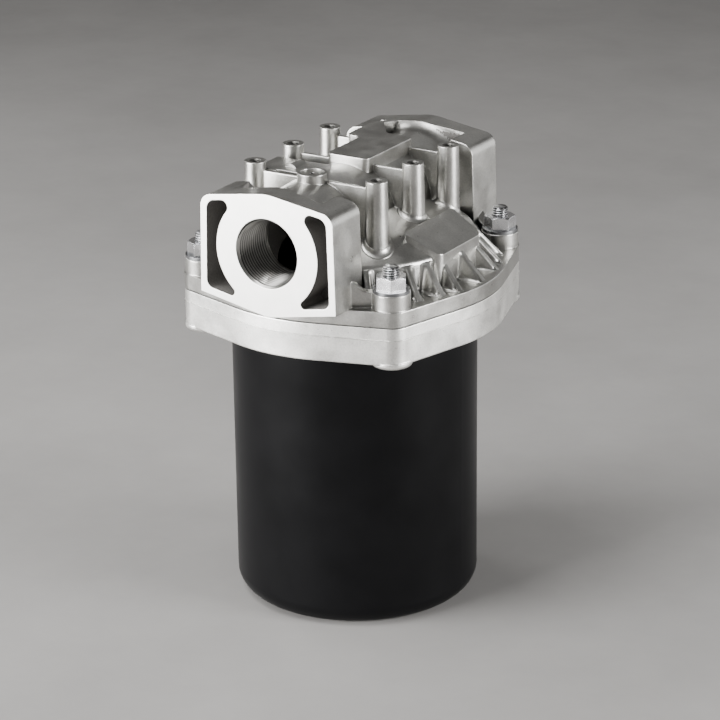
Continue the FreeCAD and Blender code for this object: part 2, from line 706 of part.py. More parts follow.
def port_blocks(body):
    """The tunnel and the two port blocks with their cored pockets and the scoops behind them."""
    joint, axis = size("joint_height"), size("joint_height") + size("port_height")
    face, inner = size("port_reach"), size("port_reach") - size("block_depth")
    tunnel = sketch_on(body, "XZ_Plane", "tunnel", up=axis)
    circle(tunnel, 0, 0, size("tunnel_radius"))
    pad(body, tunnel, inner * 2, both=True)
    shoulder, foot = size("block_shoulder"), size("block_foot")
    rise = size("port_height") + size("block_shoulder_rise")
    peak, keel = size("port_height") + size("block_peak"), size("block_keel")
    flange, bend = size("flange_height"), size("block_round")
    block = outline(sketch_on(body, "XZ_Plane", "port_block", inner, joint), [
        (0, keel, size("block_keel_round")), (foot, flange), (shoulder, rise, bend),
        (0, peak, size("block_peak_round")), (-shoulder, rise, bend), (-foot, flange),
    ])
    added = pad(body, block, size("block_depth"))
    rim, hollow = face - size("scoop_rim"), size("scoop_round")
    low, high = size("tunnel_radius"), size("block_shoulder") + size("block_peak")
    scoop = outline(sketch_on(body, "YZ_Plane", "scoop", up=axis), [
        (-inner, low), (-inner, high), (-rim, high), (-rim, low, hollow),
    ])
    scooped = turned(body, scoop, "Groove", "H_Axis", size("scoop_angle"), both=True)
    pockets = sketch_on(body, "XZ_Plane", "port_pockets", face, axis)
    crescent(pockets, 1)
    crescent(pockets, -1)
    cored = pocket(body, pockets, size("pocket_depth"))
    mirrored(body, [added, scooped, cored], "XZ_Plane")


def posts_and_webs(body):
    """Six drafted posts and the thin webs that join each pair of them across the tunnel."""
    joint, pitch, top = size("joint_height"), size("post_pitch"), size("post_top")
    posts = sketch_on(body, "XY_Plane", "posts", joint + top)
    for along in (-pitch, as_size(0), pitch):
        circle(posts, pitch, along, size("post_radius"))
        circle(posts, -pitch, along, size("post_radius"))
    pad(body, posts, top - size("post_root"), down=True, taper=size("post_draft"))
    webs = sketch_on(body, "YZ_Plane", "webs", up=joint)
    high, low = top - size("web_drop"), size("web_root")
    head_half, foot_half = size("web_top") / 2, size("web_foot") / 2
    for along in (-pitch, as_size(0), pitch):
        outline(webs, [
            (along - foot_half, low), (along + foot_half, low),
            (along + head_half, high), (along - head_half, high),
        ])
    pad(body, webs, pitch * 2, both=True)


def pads_on_tunnel(body):
    """The pad and the dished boss on top of the tunnel, level with the posts."""
    joint, top = size("joint_height"), size("post_top")
    root = joint + size("pad_root")
    height = top - size("pad_root")
    left, right, bend = -size("pad_left"), size("pad_right"), size("pad_round")
    front, back, rim = size("pad_front"), size("pad_back"), size("port_reach") - size("scoop_rim")
    area = outline(sketch_on(body, "XY_Plane", "top_pad", root), [
        (left, front, bend), (right, front, bend), (right, back, bend),
        (-size("neck_right"), back, bend), (-size("neck_tip"), size("neck_turn"), bend),
        (-size("neck_tip"), rim), (-size("neck_left"), rim),
        (-size("neck_left"), size("neck_start"), bend), (left, size("neck_start"), bend),
    ])
    pad(body, area, height)
    boss = sketch_on(body, "XY_Plane", "round_boss", root)
    circle(boss, 0, -size("cap_place"), size("cap_radius"))
    pad(body, boss, height)
    dish = sketch_on(body, "XY_Plane", "round_boss_dish", joint + top)
    circle(dish, 0, -size("cap_place"), size("cap_radius") - 2 * size("cap_dish"))
    pocket(body, dish, size("cap_dish"))
    mark = sketch_on(body, "XY_Plane", "round_boss_centre", joint + top)
    circle(mark, 0, -size("cap_place"), size("cap_hole"))
    pocket(body, mark, size("cap_hole") * 2)


def gauge_bosses(body):
    """The blank block for a clogging gauge and the two lugs on the tunnel's left shoulder."""
    joint, reach = size("joint_height"), size("gauge_reach")
    near, far = size("gauge_near"), size("gauge_far")
    root, rise = joint + size("web_root"), size("gauge_rise") - size("web_root")
    area = rectangle(sketch_on(body, "XY_Plane", "gauge_block", root), -reach, far, 0, near)
    pad(body, area, rise)
    axis = joint + size("gauge_rise") - size("gauge_boss")
    boss = sketch_on(body, "XZ_Plane", "gauge_boss", up=axis)
    bind(boss, AttachmentOffset__Base__z=-far)
    circle(boss, size("gauge_boss") - reach + size("gauge_boss_reach"), 0, size("gauge_boss"))
    pad(body, boss, size("gauge_boss_reach"))
    for name, front in (("front_lug", size("lug_front")), ("rear_lug", size("lug_back"))):
        lug = sketch_on(body, "XZ_Plane", name, -front, joint)
        side, radius = -size("lug_side"), size("lug_radius")
        low, top, bend = size("web_root"), size("lug_rise") + radius, size("lug_round")
        outline(lug, [(side - radius, low), (side + radius, low),
                      (side + radius, top, bend), (side - radius, top, bend)])
        pad(body, lug, size("lug_length"), down=True)


def shoulder_plate(body):
    """The bare raised plate on the right shoulder of the drum. Its top slopes, its walls are upright."""
    fall, inner = size("plate_fall"), size("plate_inner")
    plate = sketch_on(body, "XY_Plane", "shoulder_plate", size("joint_height") + size("plate_rise"),
                      turn=(Vector(0, 1, 0), fall))
    bind(plate, AttachmentOffset__Base__x=inner)
    far = (size("plate_outer") - inner) / wave("cos", fall)
    near_half, near_bend = size("plate_half_inner"), size("plate_round_inner")
    far_half, far_bend = size("plate_half_outer"), size("plate_round_outer")
    outline(plate, [
        (0, -near_half, near_bend), (far, -far_half, far_bend), (far, far_half, far_bend),
        (0, near_half, near_bend),
    ])
    upright = pad(body, plate, size("plate_depth"))
    upright.UseCustomVector = True
    upright.Direction = Vector(0, 0, -1)
    upright.AlongSketchNormal = False


def gussets(body):
    """Radial gussets on the drum and the low walls between the stud bosses and the port blocks."""
    joint, flange = size("joint_height"), size("flange_height")
    inner = size("drum_radius") - size("drum_round")
    ridge, rise = size("drum_radius") + size("gusset_step"), size("gusset_rise")
    fins = []
    steps = [size(f"gusset_{name}") for name in ("first", "second", "third", "fourth")]
    for number, angle in enumerate([as_size(0)] + steps + [-step for step in steps]):
        fin = sketch_on(body, "XZ_Plane", f"gusset_{number}", up=joint, turn=(Vector(0, 1, 0), angle))
        outline(fin, [(inner, flange / 2), (size("gusset_reach"), flange / 2),
                      (size("gusset_reach"), flange), (ridge, rise), (inner, rise)])
        fins.append(pad(body, fin, size("gusset_width"), both=True))
    far, high, top = size("stud_place") / 2, flange + size("boss_height"), size("apron_rise")
    for name, along in (("front", -1), ("back", 1)):
        wall = stud_sketch(body, f"{name}_apron", joint, along, 180 - along * size("apron_angle"))
        outline(wall, [(0, flange / 2), (far, flange / 2), (far, top), (size("apron_slope"), top),
                       (size("apron_flat"), high, size("apron_round")), (0, high)])
        fins.append(pad(body, wall, size("apron_width"), both=True))
    mirrored(body, fins, "YZ_Plane")


def inside(body):
    """The ring-shaped inlet chamber, the hub with its spigot, the outlet duct and the passages."""
    joint, axis = size("joint_height"), size("joint_height") + size("port_height")
    hub, wall, below = size("hub_radius"), size("deck_wall"), -size("overcut")
    outer, bend, bend_rise = size("drum_radius") - wall, size("deck_bend"), size("deck_bend_rise")
    slope = (size("deck_top_rise") - bend_rise) / (bend - size("deck_top_radius"))
    fall = (bend_rise - size("drum_edge")) / (size("drum_radius") - bend)
    chamber = sketch_on(body, "XZ_Plane", "inlet_chamber", up=joint)
    outline(chamber, [
        (hub, below), (outer, below), (outer, size("drum_edge") + (fall - 1) * wall, size("drum_round")),
        (bend, bend_rise - wall), (hub, bend_rise - wall + slope * (bend - hub)),
    ])
    turned(body, chamber, "Groove")
    spigot, shoulder = size("spigot_radius"), -size("hub_drop")
    stem = outline(sketch_on(body, "XZ_Plane", "hub_and_spigot", up=joint), [
        (0, -size("spigot_drop")), (spigot, -size("spigot_drop")), (spigot, shoulder),
        (hub, shoulder), (hub, size("hub_drop")), (0, size("hub_drop")),
    ])
    turned(body, stem)
    duct = sketch_on(body, "XZ_Plane", "outlet_duct", up=axis)
    circle(duct, 0, 0, size("bore_radius") + size("duct_wall"))
    pad(body, duct, outer + wall / 2, down=True)
    well = sketch_on(body, "XY_Plane", "outlet_well", joint + size("well_top"))
    circle(well, 0, 0, size("well_radius"))
    pocket(body, well, size("well_top") + size("spigot_drop") * 2)
    groove = sketch_on(body, "XZ_Plane", "bowl_seal_groove", up=joint)
    near = size("groove_radius")
    rectangle(groove, near, below, near + size("groove_width"), size("groove_depth"))
    turned(body, groove, "Groove")


def ports(body):
    """The threaded ports, the passages behind them and the seat of the bypass valve between them."""
    axis, face = size("joint_height") + size("port_height"), size("port_reach")
    thread, bore = size("thread_bore") / 2, size("bore_radius")
    mouth = size("thread_major") / 2 + size("port_chamfer")
    out = face + size("overcut")
    wall_front, wall_back = -size("partition_front"), size("partition") - size("partition_front")
    inlet = outline(sketch_on(body, "YZ_Plane", "inlet_passage", up=axis), [
        (-out, 0), (-out, mouth), (-face, mouth), (-face + (mouth - thread), thread),
        (-face + size("thread_depth"), thread), (-face + size("thread_depth"), bore),
        (wall_front, bore), (wall_front, size("seat_radius")), (wall_back, size("seat_radius")),
        (wall_back, size("spotface_radius")), (0, size("spotface_radius")), (0, 0),
    ])
    turned(body, inlet, "Groove", "H_Axis")
    outlet = outline(sketch_on(body, "YZ_Plane", "outlet_passage", up=axis), [
        (out, 0), (0, 0), (0, bore), (face - size("thread_depth"), bore),
        (face - size("thread_depth"), thread), (face - (mouth - thread), thread), (face, mouth),
        (out, mouth),
    ])
    turned(body, outlet, "Groove", "H_Axis")


def drilled_holes(body):
    """The stud holes of the flange and the threaded holes of the six posts."""
    joint, top = size("joint_height"), size("post_top")
    studs = sketch_on(body, "XY_Plane", "stud_holes", joint)
    for x, y in stud_places():
        circle(studs, x, y, size("stud_radius") + size("stud_clearance"))
    pocket(body, studs, size("flange_height") + size("boss_height"), up=True)
    pitch = size("post_pitch")
    spots = [(x * pitch, y * pitch) for x in (-1, 1) for y in (-1, 0, 1)]
    bores = sketch_on(body, "XY_Plane", "post_bores", joint + top)
    for x, y in spots:
        circle(bores, x, y, size("post_hole"))
    pocket(body, bores, size("post_hole_depth"))


def head():
    """The die-cast head, one casting: it takes both ports, the element and the bypass valve."""
    body = new_body("head")
    flange_and_drum(body)
    gussets(body)
    posts_and_webs(body)
    port_blocks(body)
    pads_on_tunnel(body)
    gauge_bosses(body)
    shoulder_plate(body)
    inside(body)
    ports(body)
    drilled_holes(body)
    return body


# Fasteners


def studs():
    """Four M10 studs from the ring's blind holes up through the flange."""
    body = new_body("studs")
    radius, chamfer = size("stud_radius"), size("stud_chamfer")
    top = stack_top() + size("nut_height") + size("stud_end")
    bottom = size("joint_height") - size("ring_gap") - size("stud_seat")
    section = outline(stud_sketch(body, "stud", bottom), [
        (0, 0), (radius, 0), (radius, top - bottom - chamfer), (radius - chamfer, top - bottom),
        (0, top - bottom),
    ])
    repeated(body, [turned(body, section)], "Z_Axis", 360, 4)
    return body


def nuts():
    """Four M10 hexagon nuts with chamfered corners."""
    body = new_body("nuts")
    low, height, flat = stack_top(), size("nut_height"), size("nut_across_flats") / 2
    corner = flat / wave("cos", 30)
    reach = size("stud_place")
    section = sketch_on(body, "XY_Plane", "nut", low)
    turns = [60 * step for step in range(6)]
    outline(section, [
        (reach + corner * wave("cos", turn), corner * wave("sin", turn) - reach) for turn in turns
    ])
    hexagon = pad(body, section, height)
    hole = sketch_on(body, "XY_Plane", "nut_hole", low)
    circle(hole, reach, -reach, size("stud_radius"))
    bored = pocket(body, hole, height, up=True)
    bevel = stud_sketch(body, "nut_bevel", low)
    drop, over = (corner - flat) * wave("tan", 30) * 2, size("overcut")
    outline(bevel, [(flat, height), (corner + over, height - drop), (corner + over, height + over),
                    (flat, height + over)])
    turned_off = turned(body, bevel, "Groove")
    repeated(body, [hexagon, bored, turned_off], "Z_Axis", 360, 4)
    return body


def washers():
    """Four plain washers."""
    body = new_body("washers")
    radius, hole = size("washer_radius"), size("stud_radius") + size("stud_clearance") / 2
    low = stack_top() - size("washer_height")
    section = rectangle(stud_sketch(body, "washer", low), hole, 0, radius, size("washer_height"))
    repeated(body, [turned(body, section)], "Z_Axis", 360, 4)
    return body


# Element


def bowl_seal():
    """O-ring between the head and the bowl's lip, squeezed into its groove."""
    body = new_body("bowl_seal")
    side, width, depth = size("seal_side"), size("groove_width"), size("groove_depth")
    near, far = size("groove_radius") + side, size("groove_radius") + width - side
    bend = depth / 3
    section = sketch_on(body, "XZ_Plane", "bowl_seal_section", up=size("joint_height"))
    outline(section, [(near, 0, bend), (far, 0, bend), (far, depth, bend), (near, depth, bend)])
    turned(body, section)
    return body


def element_top_cap():
    """Upper end cap: a rim over the pleats and a hub with a seal groove that slides on the spigot."""
    body = new_body("element_top_cap")
    bore = size("spigot_radius") + size("spigot_gap")
    deep = size("spigot_radius") + size("seal_width")
    top = element_hub_top()
    plate = top - size("cap_hub_height")
    seal_low, seal_high = seal_band()
    low, outer, edge = plate - size("cap_sheet"), size("element_radius"), plate - size("cap_rim_height")
    section = outline(sketch_on(body, "XZ_Plane", "top_cap_section"), [
        (bore, low), (outer - size("cap_rim"), low), (outer - size("cap_rim"), edge),
        (outer, edge), (outer, plate, size("cap_rim")),
        (size("cap_hub_radius"), plate), (size("cap_hub_radius"), top), (bore, top),
        (bore, seal_high + size("seal_side")), (deep, seal_high + size("seal_side")),
        (deep, seal_low - size("seal_side")), (bore, seal_low - size("seal_side")),
    ])
    turned(body, section)
    return body


def element_seal():
    """Ring seal in the hub of the upper end cap, against the spigot."""
    body = new_body("element_seal")
    low, high = seal_band()
    near, far = size("spigot_radius"), size("spigot_radius") + size("seal_width")
    section = rectangle(sketch_on(body, "XZ_Plane", "element_seal_section"), near, low, far, high)
    turned(body, section)
    return body


def element_bottom_cap():
    """Closed lower end cap."""
    body = new_body("element_bottom_cap")
    low, sheet, outer = size("element_foot"), size("cap_sheet"), size("element_radius")
    inner, high = outer - size("cap_rim"), low + size("cap_rim_height")
    section = outline(sketch_on(body, "XZ_Plane", "bottom_cap_section"), [
        (0, low), (outer, low, size("cap_rim")), (outer, high), (inner, high), (inner, low + sheet),
        (0, low + sheet),
    ])
    turned(body, section)
    return body


def filter_media():
    """The pleated medium: one folded strip, closed to a ring."""
    outer, inner = media_inner().value + size("media_depth").value, media_inner().value
    fold, count = size("media_fold").value, round(size("pleats").value)
    low = size("element_foot").value + size("cap_sheet").value
    sides = []
    for tip, root in ((outer, inner + fold), (outer - fold, inner)):
        ring = []
        for number in range(2 * count):
            turn, radius = number * math.pi / count, tip if number % 2 else root
            ring.append(Vector(radius * math.cos(turn), radius * math.sin(turn), low))
        sides.append(Part.makePolygon(ring + ring[:1]))
    strip = Part.makeFace(sides, "Part::FaceMakerCheese").extrude(Vector(0, 0, media_top().value - low))
    feature = DOC.addObject("Part::Feature", "filter_media")
    feature.Label = "filter_media"
    feature.Shape = strip
    feature.Placement = FreeCAD.Placement()
    return feature


def inner_tube():
    """Perforated support tube inside the pleats."""
    body = new_body("inner_tube")
    low = size("element_foot") + size("cap_sheet")
    length = media_top() - low
    outer = media_inner() - size("tube_gap")
    wall = sketch_on(body, "XY_Plane", "tube_wall_section", low)
    circle(wall, 0, 0, outer)
    circle(wall, 0, 0, outer - size("tube_wall"))
    pad(body, wall, length)
    holes = sketch_on(body, "XZ_Plane", "tube_hole_rows", up=low)
    rows = round(size("tube_rows").value)
    for row in range(rows):
        circle(holes, 0, length * ((row + 0.5) / rows), size("tube_hole"))
    drilled = pocket(body, holes, outer * 2, up=True)
    repeated(body, [drilled], "Z_Axis", 360, size("tube_holes"))
    return body


def spring_plate():
    """Plate between the spring and the element, with a collar that keeps the spring in the middle."""
    body = new_body("spring_plate")
    top, sheet = size("element_foot"), size("spring_plate_sheet")
    hole, outer = size("spring_plate_hole"), size("spring_plate_radius")
    low = top - sheet - size("spring_wire")
    section = outline(sketch_on(body, "XZ_Plane", "spring_plate_section"), [
        (hole, low), (hole + sheet, low), (hole + sheet, top - sheet), (outer, top - sheet),
        (outer, top), (hole, top),
    ])
    turned(body, section)
    return body


def coil(name, role, radius, wire, start, length, turns, up=0):
    """A compression spring along an axis of the frame."""
    body = new_body(name)
    sketch = sketch_on(body, role, f"{name}_wire", up=up)
    if role == "XZ_Plane":
        circle(sketch, radius, start + wire / 2, wire / 2)
    else:
        circle(sketch, start + wire / 2, radius, wire / 2)
    feature = body.newObject("PartDesign::AdditiveHelix", f"{name}_helix")
    feature.Profile = sketch
    feature.ReferenceAxis = (sketch, ["V_Axis" if role == "XZ_Plane" else "H_Axis"])
    feature.Mode = "height-turns-angle"
    bind(feature, Height=length - wire, Turns=turns)
    return body


def element_spring():
    """Spring under the element, from the bowl's bottom up to its plate."""
    low = size("bowl_floor")
    high = size("element_foot") - size("spring_plate_sheet")
    return coil("element_spring", "XZ_Plane", size("spring_radius"), size("spring_wire"), low,
                high - low, size("spring_turns"))


# Bypass valve


def valve_sketch(body, name):
    """A sketch whose horizontal axis is the port axis, seen from the right."""
    return sketch_on(body, "YZ_Plane", name, up=size("joint_height") + size("port_height"))


def seat_gasket():
    """Flat gasket between the partition and the seat's flange."""
    body = new_body("seat_gasket")
    near = size("partition") - size("partition_front")
    section = valve_sketch(body, "seat_gasket_section")
    rectangle(section, near, size("seat_radius") + size("seal_side"), near + size("gasket_sheet"),
              size("seat_flange_radius"))
    turned(body, section, axis="H_Axis")
    return body


def bypass_seat():
    """Flanged bush in the wall between inlet and outlet. The poppet closes its rear face."""
    body = new_body("bypass_seat")
    bore, bush = size("seat_bore"), size("seat_radius")
    under = size("partition") - size("partition_front") + size("gasket_sheet")
    section = outline(valve_sketch(body, "bypass_seat_section"), [
        (-size("partition_front"), bore), (seat_face(), bore), (seat_face(), size("seat_flange_radius")),
        (under, size("seat_flange_radius")), (under, bush), (-size("partition_front"), bush),
    ])
    turned(body, section, axis="H_Axis")
    return body


def bypass_poppet():
    """Disc and stem, with a groove for the clip."""
    body = new_body("bypass_poppet")
    start, back = seat_face(), seat_face() + size("poppet_disc")
    stem, end = size("poppet_stem"), back + size("poppet_stem_length")
    waist = stem - size("clip_groove")
    near, far = clip_place(), clip_place() + size("clip_sheet")
    section = outline(valve_sketch(body, "bypass_poppet_section"), [
        (start, 0), (end, 0), (end, stem), (far, stem), (far, waist), (near, waist), (near, stem),
        (back, stem), (back, size("poppet_radius")), (start, size("poppet_radius")),
    ])
    turned(body, section, axis="H_Axis")
    return body


def bypass_cage():
    """Cage on the seat: a ring, legs and a bridge that guides the stem and carries the spring."""
    body = new_body("bypass_cage")
    start, sheet = seat_face(), size("cage_sheet")
    end = start + size("cage_length")
    inner, outer = size("cage_inner"), size("cage_inner") + sheet
    hole = size("poppet_stem") + size("cage_gap")
    section = outline(valve_sketch(body, "bypass_cage_section"), [
        (start, inner), (end - sheet, inner), (end - sheet, hole), (end, hole), (end, outer, sheet),
        (start, outer),
    ])
    turned(body, section, axis="H_Axis")
    count = round(size("cage_legs").value)
    window = valve_sketch(body, "bypass_cage_window")
    over = size("overcut")
    rectangle(window, start + sheet, inner - over, end - sheet * 2, outer + over)
    leg = size("cage_leg_width") / outer * (180 / math.pi)
    cut = turned(body, window, "Groove", "H_Axis", 360 / count - leg)
    pattern = repeated(body, [cut], "X_Axis", 360, count)
    pattern.Axis = (window, ["H_Axis"])
    return body


def bypass_spring():
    """Spring between the poppet's disc and the bridge of the cage."""
    start = seat_face() + size("poppet_disc")
    length = size("cage_length") - size("cage_sheet") - size("poppet_disc")
    return coil("bypass_spring", "YZ_Plane", size("valve_spring_radius"), size("valve_spring_wire"),
                start, length, size("valve_spring_turns"), size("joint_height") + size("port_height"))


def bypass_clip():
    """Clip in the stem's groove, behind the bridge of the cage."""
    body = new_body("bypass_clip")
    near = clip_place()
    section = valve_sketch(body, "bypass_clip_section")
    rectangle(section, near, size("poppet_stem") - size("clip_groove"), near + size("clip_sheet"),
              size("clip_radius"))
    turned(body, section, axis="H_Axis")
    return body


# The whole filter


PIECES = (
    head, clamp_ring, bowl, bowl_seal, studs, nuts, washers, element_top_cap, element_bottom_cap,
    filter_media, inner_tube, element_seal, element_spring, spring_plate, bypass_seat, seat_gasket,
    bypass_poppet, bypass_spring, bypass_cage, bypass_clip,
)


def check_and_write(pieces):
    """Stop on any failed object or bad shape, then write each piece to its file."""
    for item in DOC.Objects:
        if "Invalid" in item.State or "Error" in item.State:
            raise SystemExit(f"{item.Name} failed: {item.State}")
    for piece in pieces:
        if piece.Shape.isNull() or not piece.Shape.isValid():
            raise SystemExit(f"{piece.Label} has no valid shape")
    os.makedirs("parts", exist_ok=True)
    for piece in pieces:
        piece.Shape.exportStep(f"parts/{piece.Label}.step")
        print(piece.Label, len(piece.Shape.Solids), round(piece.Shape.Volume), piece.Shape.BoundBox)


def main():
    fill_sheet()
    pieces = [make() for make in PIECES]
    DOC.recompute()
    check_and_write(pieces)


main()
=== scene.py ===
"""Dresses the packed hydraulic filter for a photograph: threads, castings, paint and a plain studio.

Lengths are metres in the frame of the packed model: Z up, the ports along Y with the inlet at -Y,
and the origin under the middle of the bowl. Sizes that come from the model are read from its boxes
and mounts, and the sizes and colours that a user would change are properties in the sidebar.
"""

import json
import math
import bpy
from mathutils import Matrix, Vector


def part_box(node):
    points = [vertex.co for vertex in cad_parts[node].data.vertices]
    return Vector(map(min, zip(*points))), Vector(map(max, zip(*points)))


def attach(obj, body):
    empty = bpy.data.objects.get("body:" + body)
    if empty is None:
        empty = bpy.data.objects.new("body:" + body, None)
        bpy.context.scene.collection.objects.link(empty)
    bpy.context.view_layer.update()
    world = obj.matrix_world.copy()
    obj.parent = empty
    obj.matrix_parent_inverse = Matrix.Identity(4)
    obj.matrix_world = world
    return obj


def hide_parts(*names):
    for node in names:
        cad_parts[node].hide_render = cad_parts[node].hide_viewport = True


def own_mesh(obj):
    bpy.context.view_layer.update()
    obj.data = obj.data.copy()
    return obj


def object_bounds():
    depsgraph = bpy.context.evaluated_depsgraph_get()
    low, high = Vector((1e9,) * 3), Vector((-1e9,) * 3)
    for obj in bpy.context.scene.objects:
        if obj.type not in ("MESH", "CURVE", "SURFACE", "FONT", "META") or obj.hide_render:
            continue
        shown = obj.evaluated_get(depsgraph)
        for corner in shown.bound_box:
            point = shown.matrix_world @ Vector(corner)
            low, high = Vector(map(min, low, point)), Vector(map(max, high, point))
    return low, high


bl_info = {
    "name": "Hydraulic Filter Finish",
    "version": (1, 0, 0),
    "blender": (4, 5, 0),
    "location": "View3D > Sidebar > Filter",
    "description": "Adds threads, cast and painted finishes and a studio to the packed filter",
    "category": "Object",
}

import bmesh
import bpy
import numpy as np
from bpy.props import FloatProperty, FloatVectorProperty, IntProperty, PointerProperty
from mathutils import Matrix, Vector

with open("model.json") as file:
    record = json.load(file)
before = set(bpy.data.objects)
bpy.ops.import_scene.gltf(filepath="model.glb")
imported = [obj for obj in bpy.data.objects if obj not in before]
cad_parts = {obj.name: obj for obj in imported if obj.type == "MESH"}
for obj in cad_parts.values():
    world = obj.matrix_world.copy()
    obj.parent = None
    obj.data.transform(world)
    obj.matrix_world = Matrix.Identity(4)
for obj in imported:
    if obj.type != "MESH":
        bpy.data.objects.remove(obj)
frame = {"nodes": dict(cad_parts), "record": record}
CAD_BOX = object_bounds()
MM = 0.001
MOUNTS = {mount["name"]: mount for mount in frame["record"]["mounts"]}
NEAR = 0.05 * MM  # two places that are closer than this are taken as one
MERGE = 0.002 * MM  # vertices of a CAD mesh that are closer than this are doubles
RING_SPACING = 2 * math.pi / 20  # distance between the wave texture's rings at scale 1
SQUARE = 0.99  # a face is square to an axis where its normal has more than this along it
THREAD_DEPTH = 0.6134  # depth of an ISO metric external thread, as a share of its pitch
RIB_ANGLES = (0, 14.6, 23.2, 33.6, 53)  # degrees from the X axis, on both sides of it and of the drum
DECK_RADII = (0, 24, 58, 75)  # the deck's profile, in millimetres from the middle
DECK_RISES = (50, 50, 38.5, 28)  # its height over the joint at those radii
MOULD_LEVEL = 0.02 * MM  # the clamp ring's vertices within this of the mould line's height are its outline
MOULD_STEP = 0.01 * MM  # and those that are closer together than this are one
MOULD_INSIDE = 5 * MM  # the outline lies farther than this outside the drum
MOULD_POINTS = 12  # and has at least this many points
RING_GAP = 0.5 * MM  # from the top of the clamp ring to the joint, where the head's flange starts
RIB_SINK = 0.6 * MM  # how deep a rib's foot goes into the flange
COLLAR_SINK = 2 * MM  # how deep a fillet's two hidden points go into its post and the deck
NECK_FRONT = -20 * MM  # the level top of the pad and its neck lies behind this
NECK_SIDE = -10 * MM  # and both of the neck's sides lie to the left of this
POCKET_RING = 34.8  # a cored pocket, in millimetres: the radius about the port that it stays outside
POCKET_DEPTH = 22.2  # its depth from the port face
POCKET_SIDE = 43  # how far it reaches to the side
POCKET_ROOF, ROOF_FALL = 34.5, 0.15  # its roof over the port's axis in the middle, and its fall to the side
POCKET_KEEL, KEEL_RISE = -37, 0.19  # its lower edge in the middle, and its rise to the side
ROUGHNESS = {  # of each finish, from bright plating to matt paper
    "head": 0.32, "ring": 0.38, "cut": 0.42, "pocket": 0.7,
    "port_thread": 0.3, "post_thread": 0.42, "stud_thread": 0.3,
    "zinc": 0.24, "washer": 0.3, "tin": 0.34, "spring": 0.4, "brass": 0.28,
    "rubber": 0.65, "paper": 0.9, "backdrop": 0.9,
}
SENSOR_WIDTH, CLIP_END = 36, 20  # the camera's sensor in millimetres, and how far it sees in metres
SKY_COLOUR, SKY_STRENGTH = "#b9b8b6", 0.22
LIGHTS_AIM = (0, 0, 0.2)  # all soft boxes face this point, near the top of the bowl
CUT, PORT_THREAD, POCKET, POST_THREAD = range(1, 5)  # the head's materials that follow its cast skin


def linear(hex_colour):
    """An sRGB hex colour as linear red, green and blue."""
    parts = [int(hex_colour[i : i + 2], 16) / 255 for i in (1, 3, 5)]
    return [p / 12.92 if p <= 0.04045 else ((p + 0.055) / 1.055) ** 2.4 for p in parts]


def length(name, description, default_mm):
    """A property for a length, given here in millimetres."""
    return FloatProperty(
        name=name, description=description, default=default_mm * MM, min=0, unit="LENGTH", precision=5
    )


def share(name, description, default):
    """A property between 0 and 1."""
    return FloatProperty(
        name=name, description=description, default=default, min=0, max=1, subtype="FACTOR"
    )


def angle(name, description, default_degrees):
    """A property for an angle, given here in degrees."""
    return FloatProperty(
        name=name, description=description, default=math.radians(default_degrees), subtype="ANGLE"
    )


def colour(name, description, default_hex):
    """A property for a colour, given here as sRGB hex."""
    return FloatVectorProperty(
        name=name, description=description, default=linear(default_hex), min=0, max=1, subtype="COLOR"
    )


class ThreadSizes(bpy.types.PropertyGroup):
    """Sizes of the screw threads."""

    port_pitch: length("Port pitch", "Pitch of the G 1 1/4 thread, eleven turns to the inch", 2.309)
    port_major: length("Port major", "Major diameter of the port thread", 41.91)
    port_mouth: length("Port mouth", "Diameter of the chamfer where it meets the port face", 42.71)
    port_depth: length("Port depth", "Depth of the thread from the port face", 31)
    stud_major: length("Stud major", "Major diameter of the M10 thread", 10)
    stud_pitch: length("Stud pitch", "Pitch of the M10 thread", 1.5)
    stud_thread: length("Stud thread", "Threaded length at the top of a stud", 22)
    stud_end: length("Stud end", "Threaded length at the bottom of a stud", 16)
    post_major: length("Post major", "Major diameter of the M6 thread in a post", 6)
    post_pitch: length("Post pitch", "Pitch of that thread", 1)
    post_mouth: length("Post mouth", "Diameter of the countersink on top of a post", 7.4)
    post_depth: length("Post depth", "Depth of the hole in a post", 15)
    columns: IntProperty(name="Port columns", description="Steps round a port thread", default=96, min=12)
    stud_columns: IntProperty(
        name="Stud columns", description="Steps round a stud or a post's hole", default=32, min=12
    )
    rows: IntProperty(name="Rows", description="Steps along one pitch", default=10, min=4)


class CastFinish(bpy.types.PropertyGroup):
    """Colours and grain of the castings."""

    head: colour("Head", "Die-cast aluminium of the head", "#c4c3bf")
    ring: colour("Ring", "Satin aluminium of the clamp ring", "#f0efeb")
    machined: colour("Machined", "Cut aluminium of the port faces", "#f6f5f1")
    # Painted shade: the port threads' cut aluminium is darker than the port faces', for the shade inside the
    # bores.
    bore: colour("Bores", "Cut aluminium of the port threads", "#b9b8b4")
    # The posts' tapped holes are much darker than the other cut aluminium.
    tapped: colour("Tapped holes", "Oily aluminium of the posts' tapped holes", "#6c6b68")
    # Painted shade: darker than the head's cast skin, for the shade deep in the pockets and passages.
    pocket: colour("Pockets", "Cast skin in the cored pockets and passages", "#74726f")
    grain: length("Grain", "Size of the cast skin's grain", 1.1)
    grain_height: length("Grain height", "Height of that grain", 0.05)
    pore: length("Pores", "Distance between the cast skin's small dark pores", 5)
    # Painted shade: the castings' colour darkens in corners, as far as Corners reaches, down to the share of
    # its brightness that Dullness leaves.
    corner: length("Corners", "How far a corner's dullness reaches", 16)
    painted_corner_shade: share("Dullness", "Brightness that is left deep in a corner", 0.3)
    tool_step: length("Tool step", "Distance between the rings of the cut", 7.54)
    tool_height: length("Tool height", "Height of those rings", 0.004)
    patch: length("Patch", "Size of the patches where the melt cooled unevenly", 14)
    edge: length("Edge", "Rounding that light finds on a cast edge", 1.0)


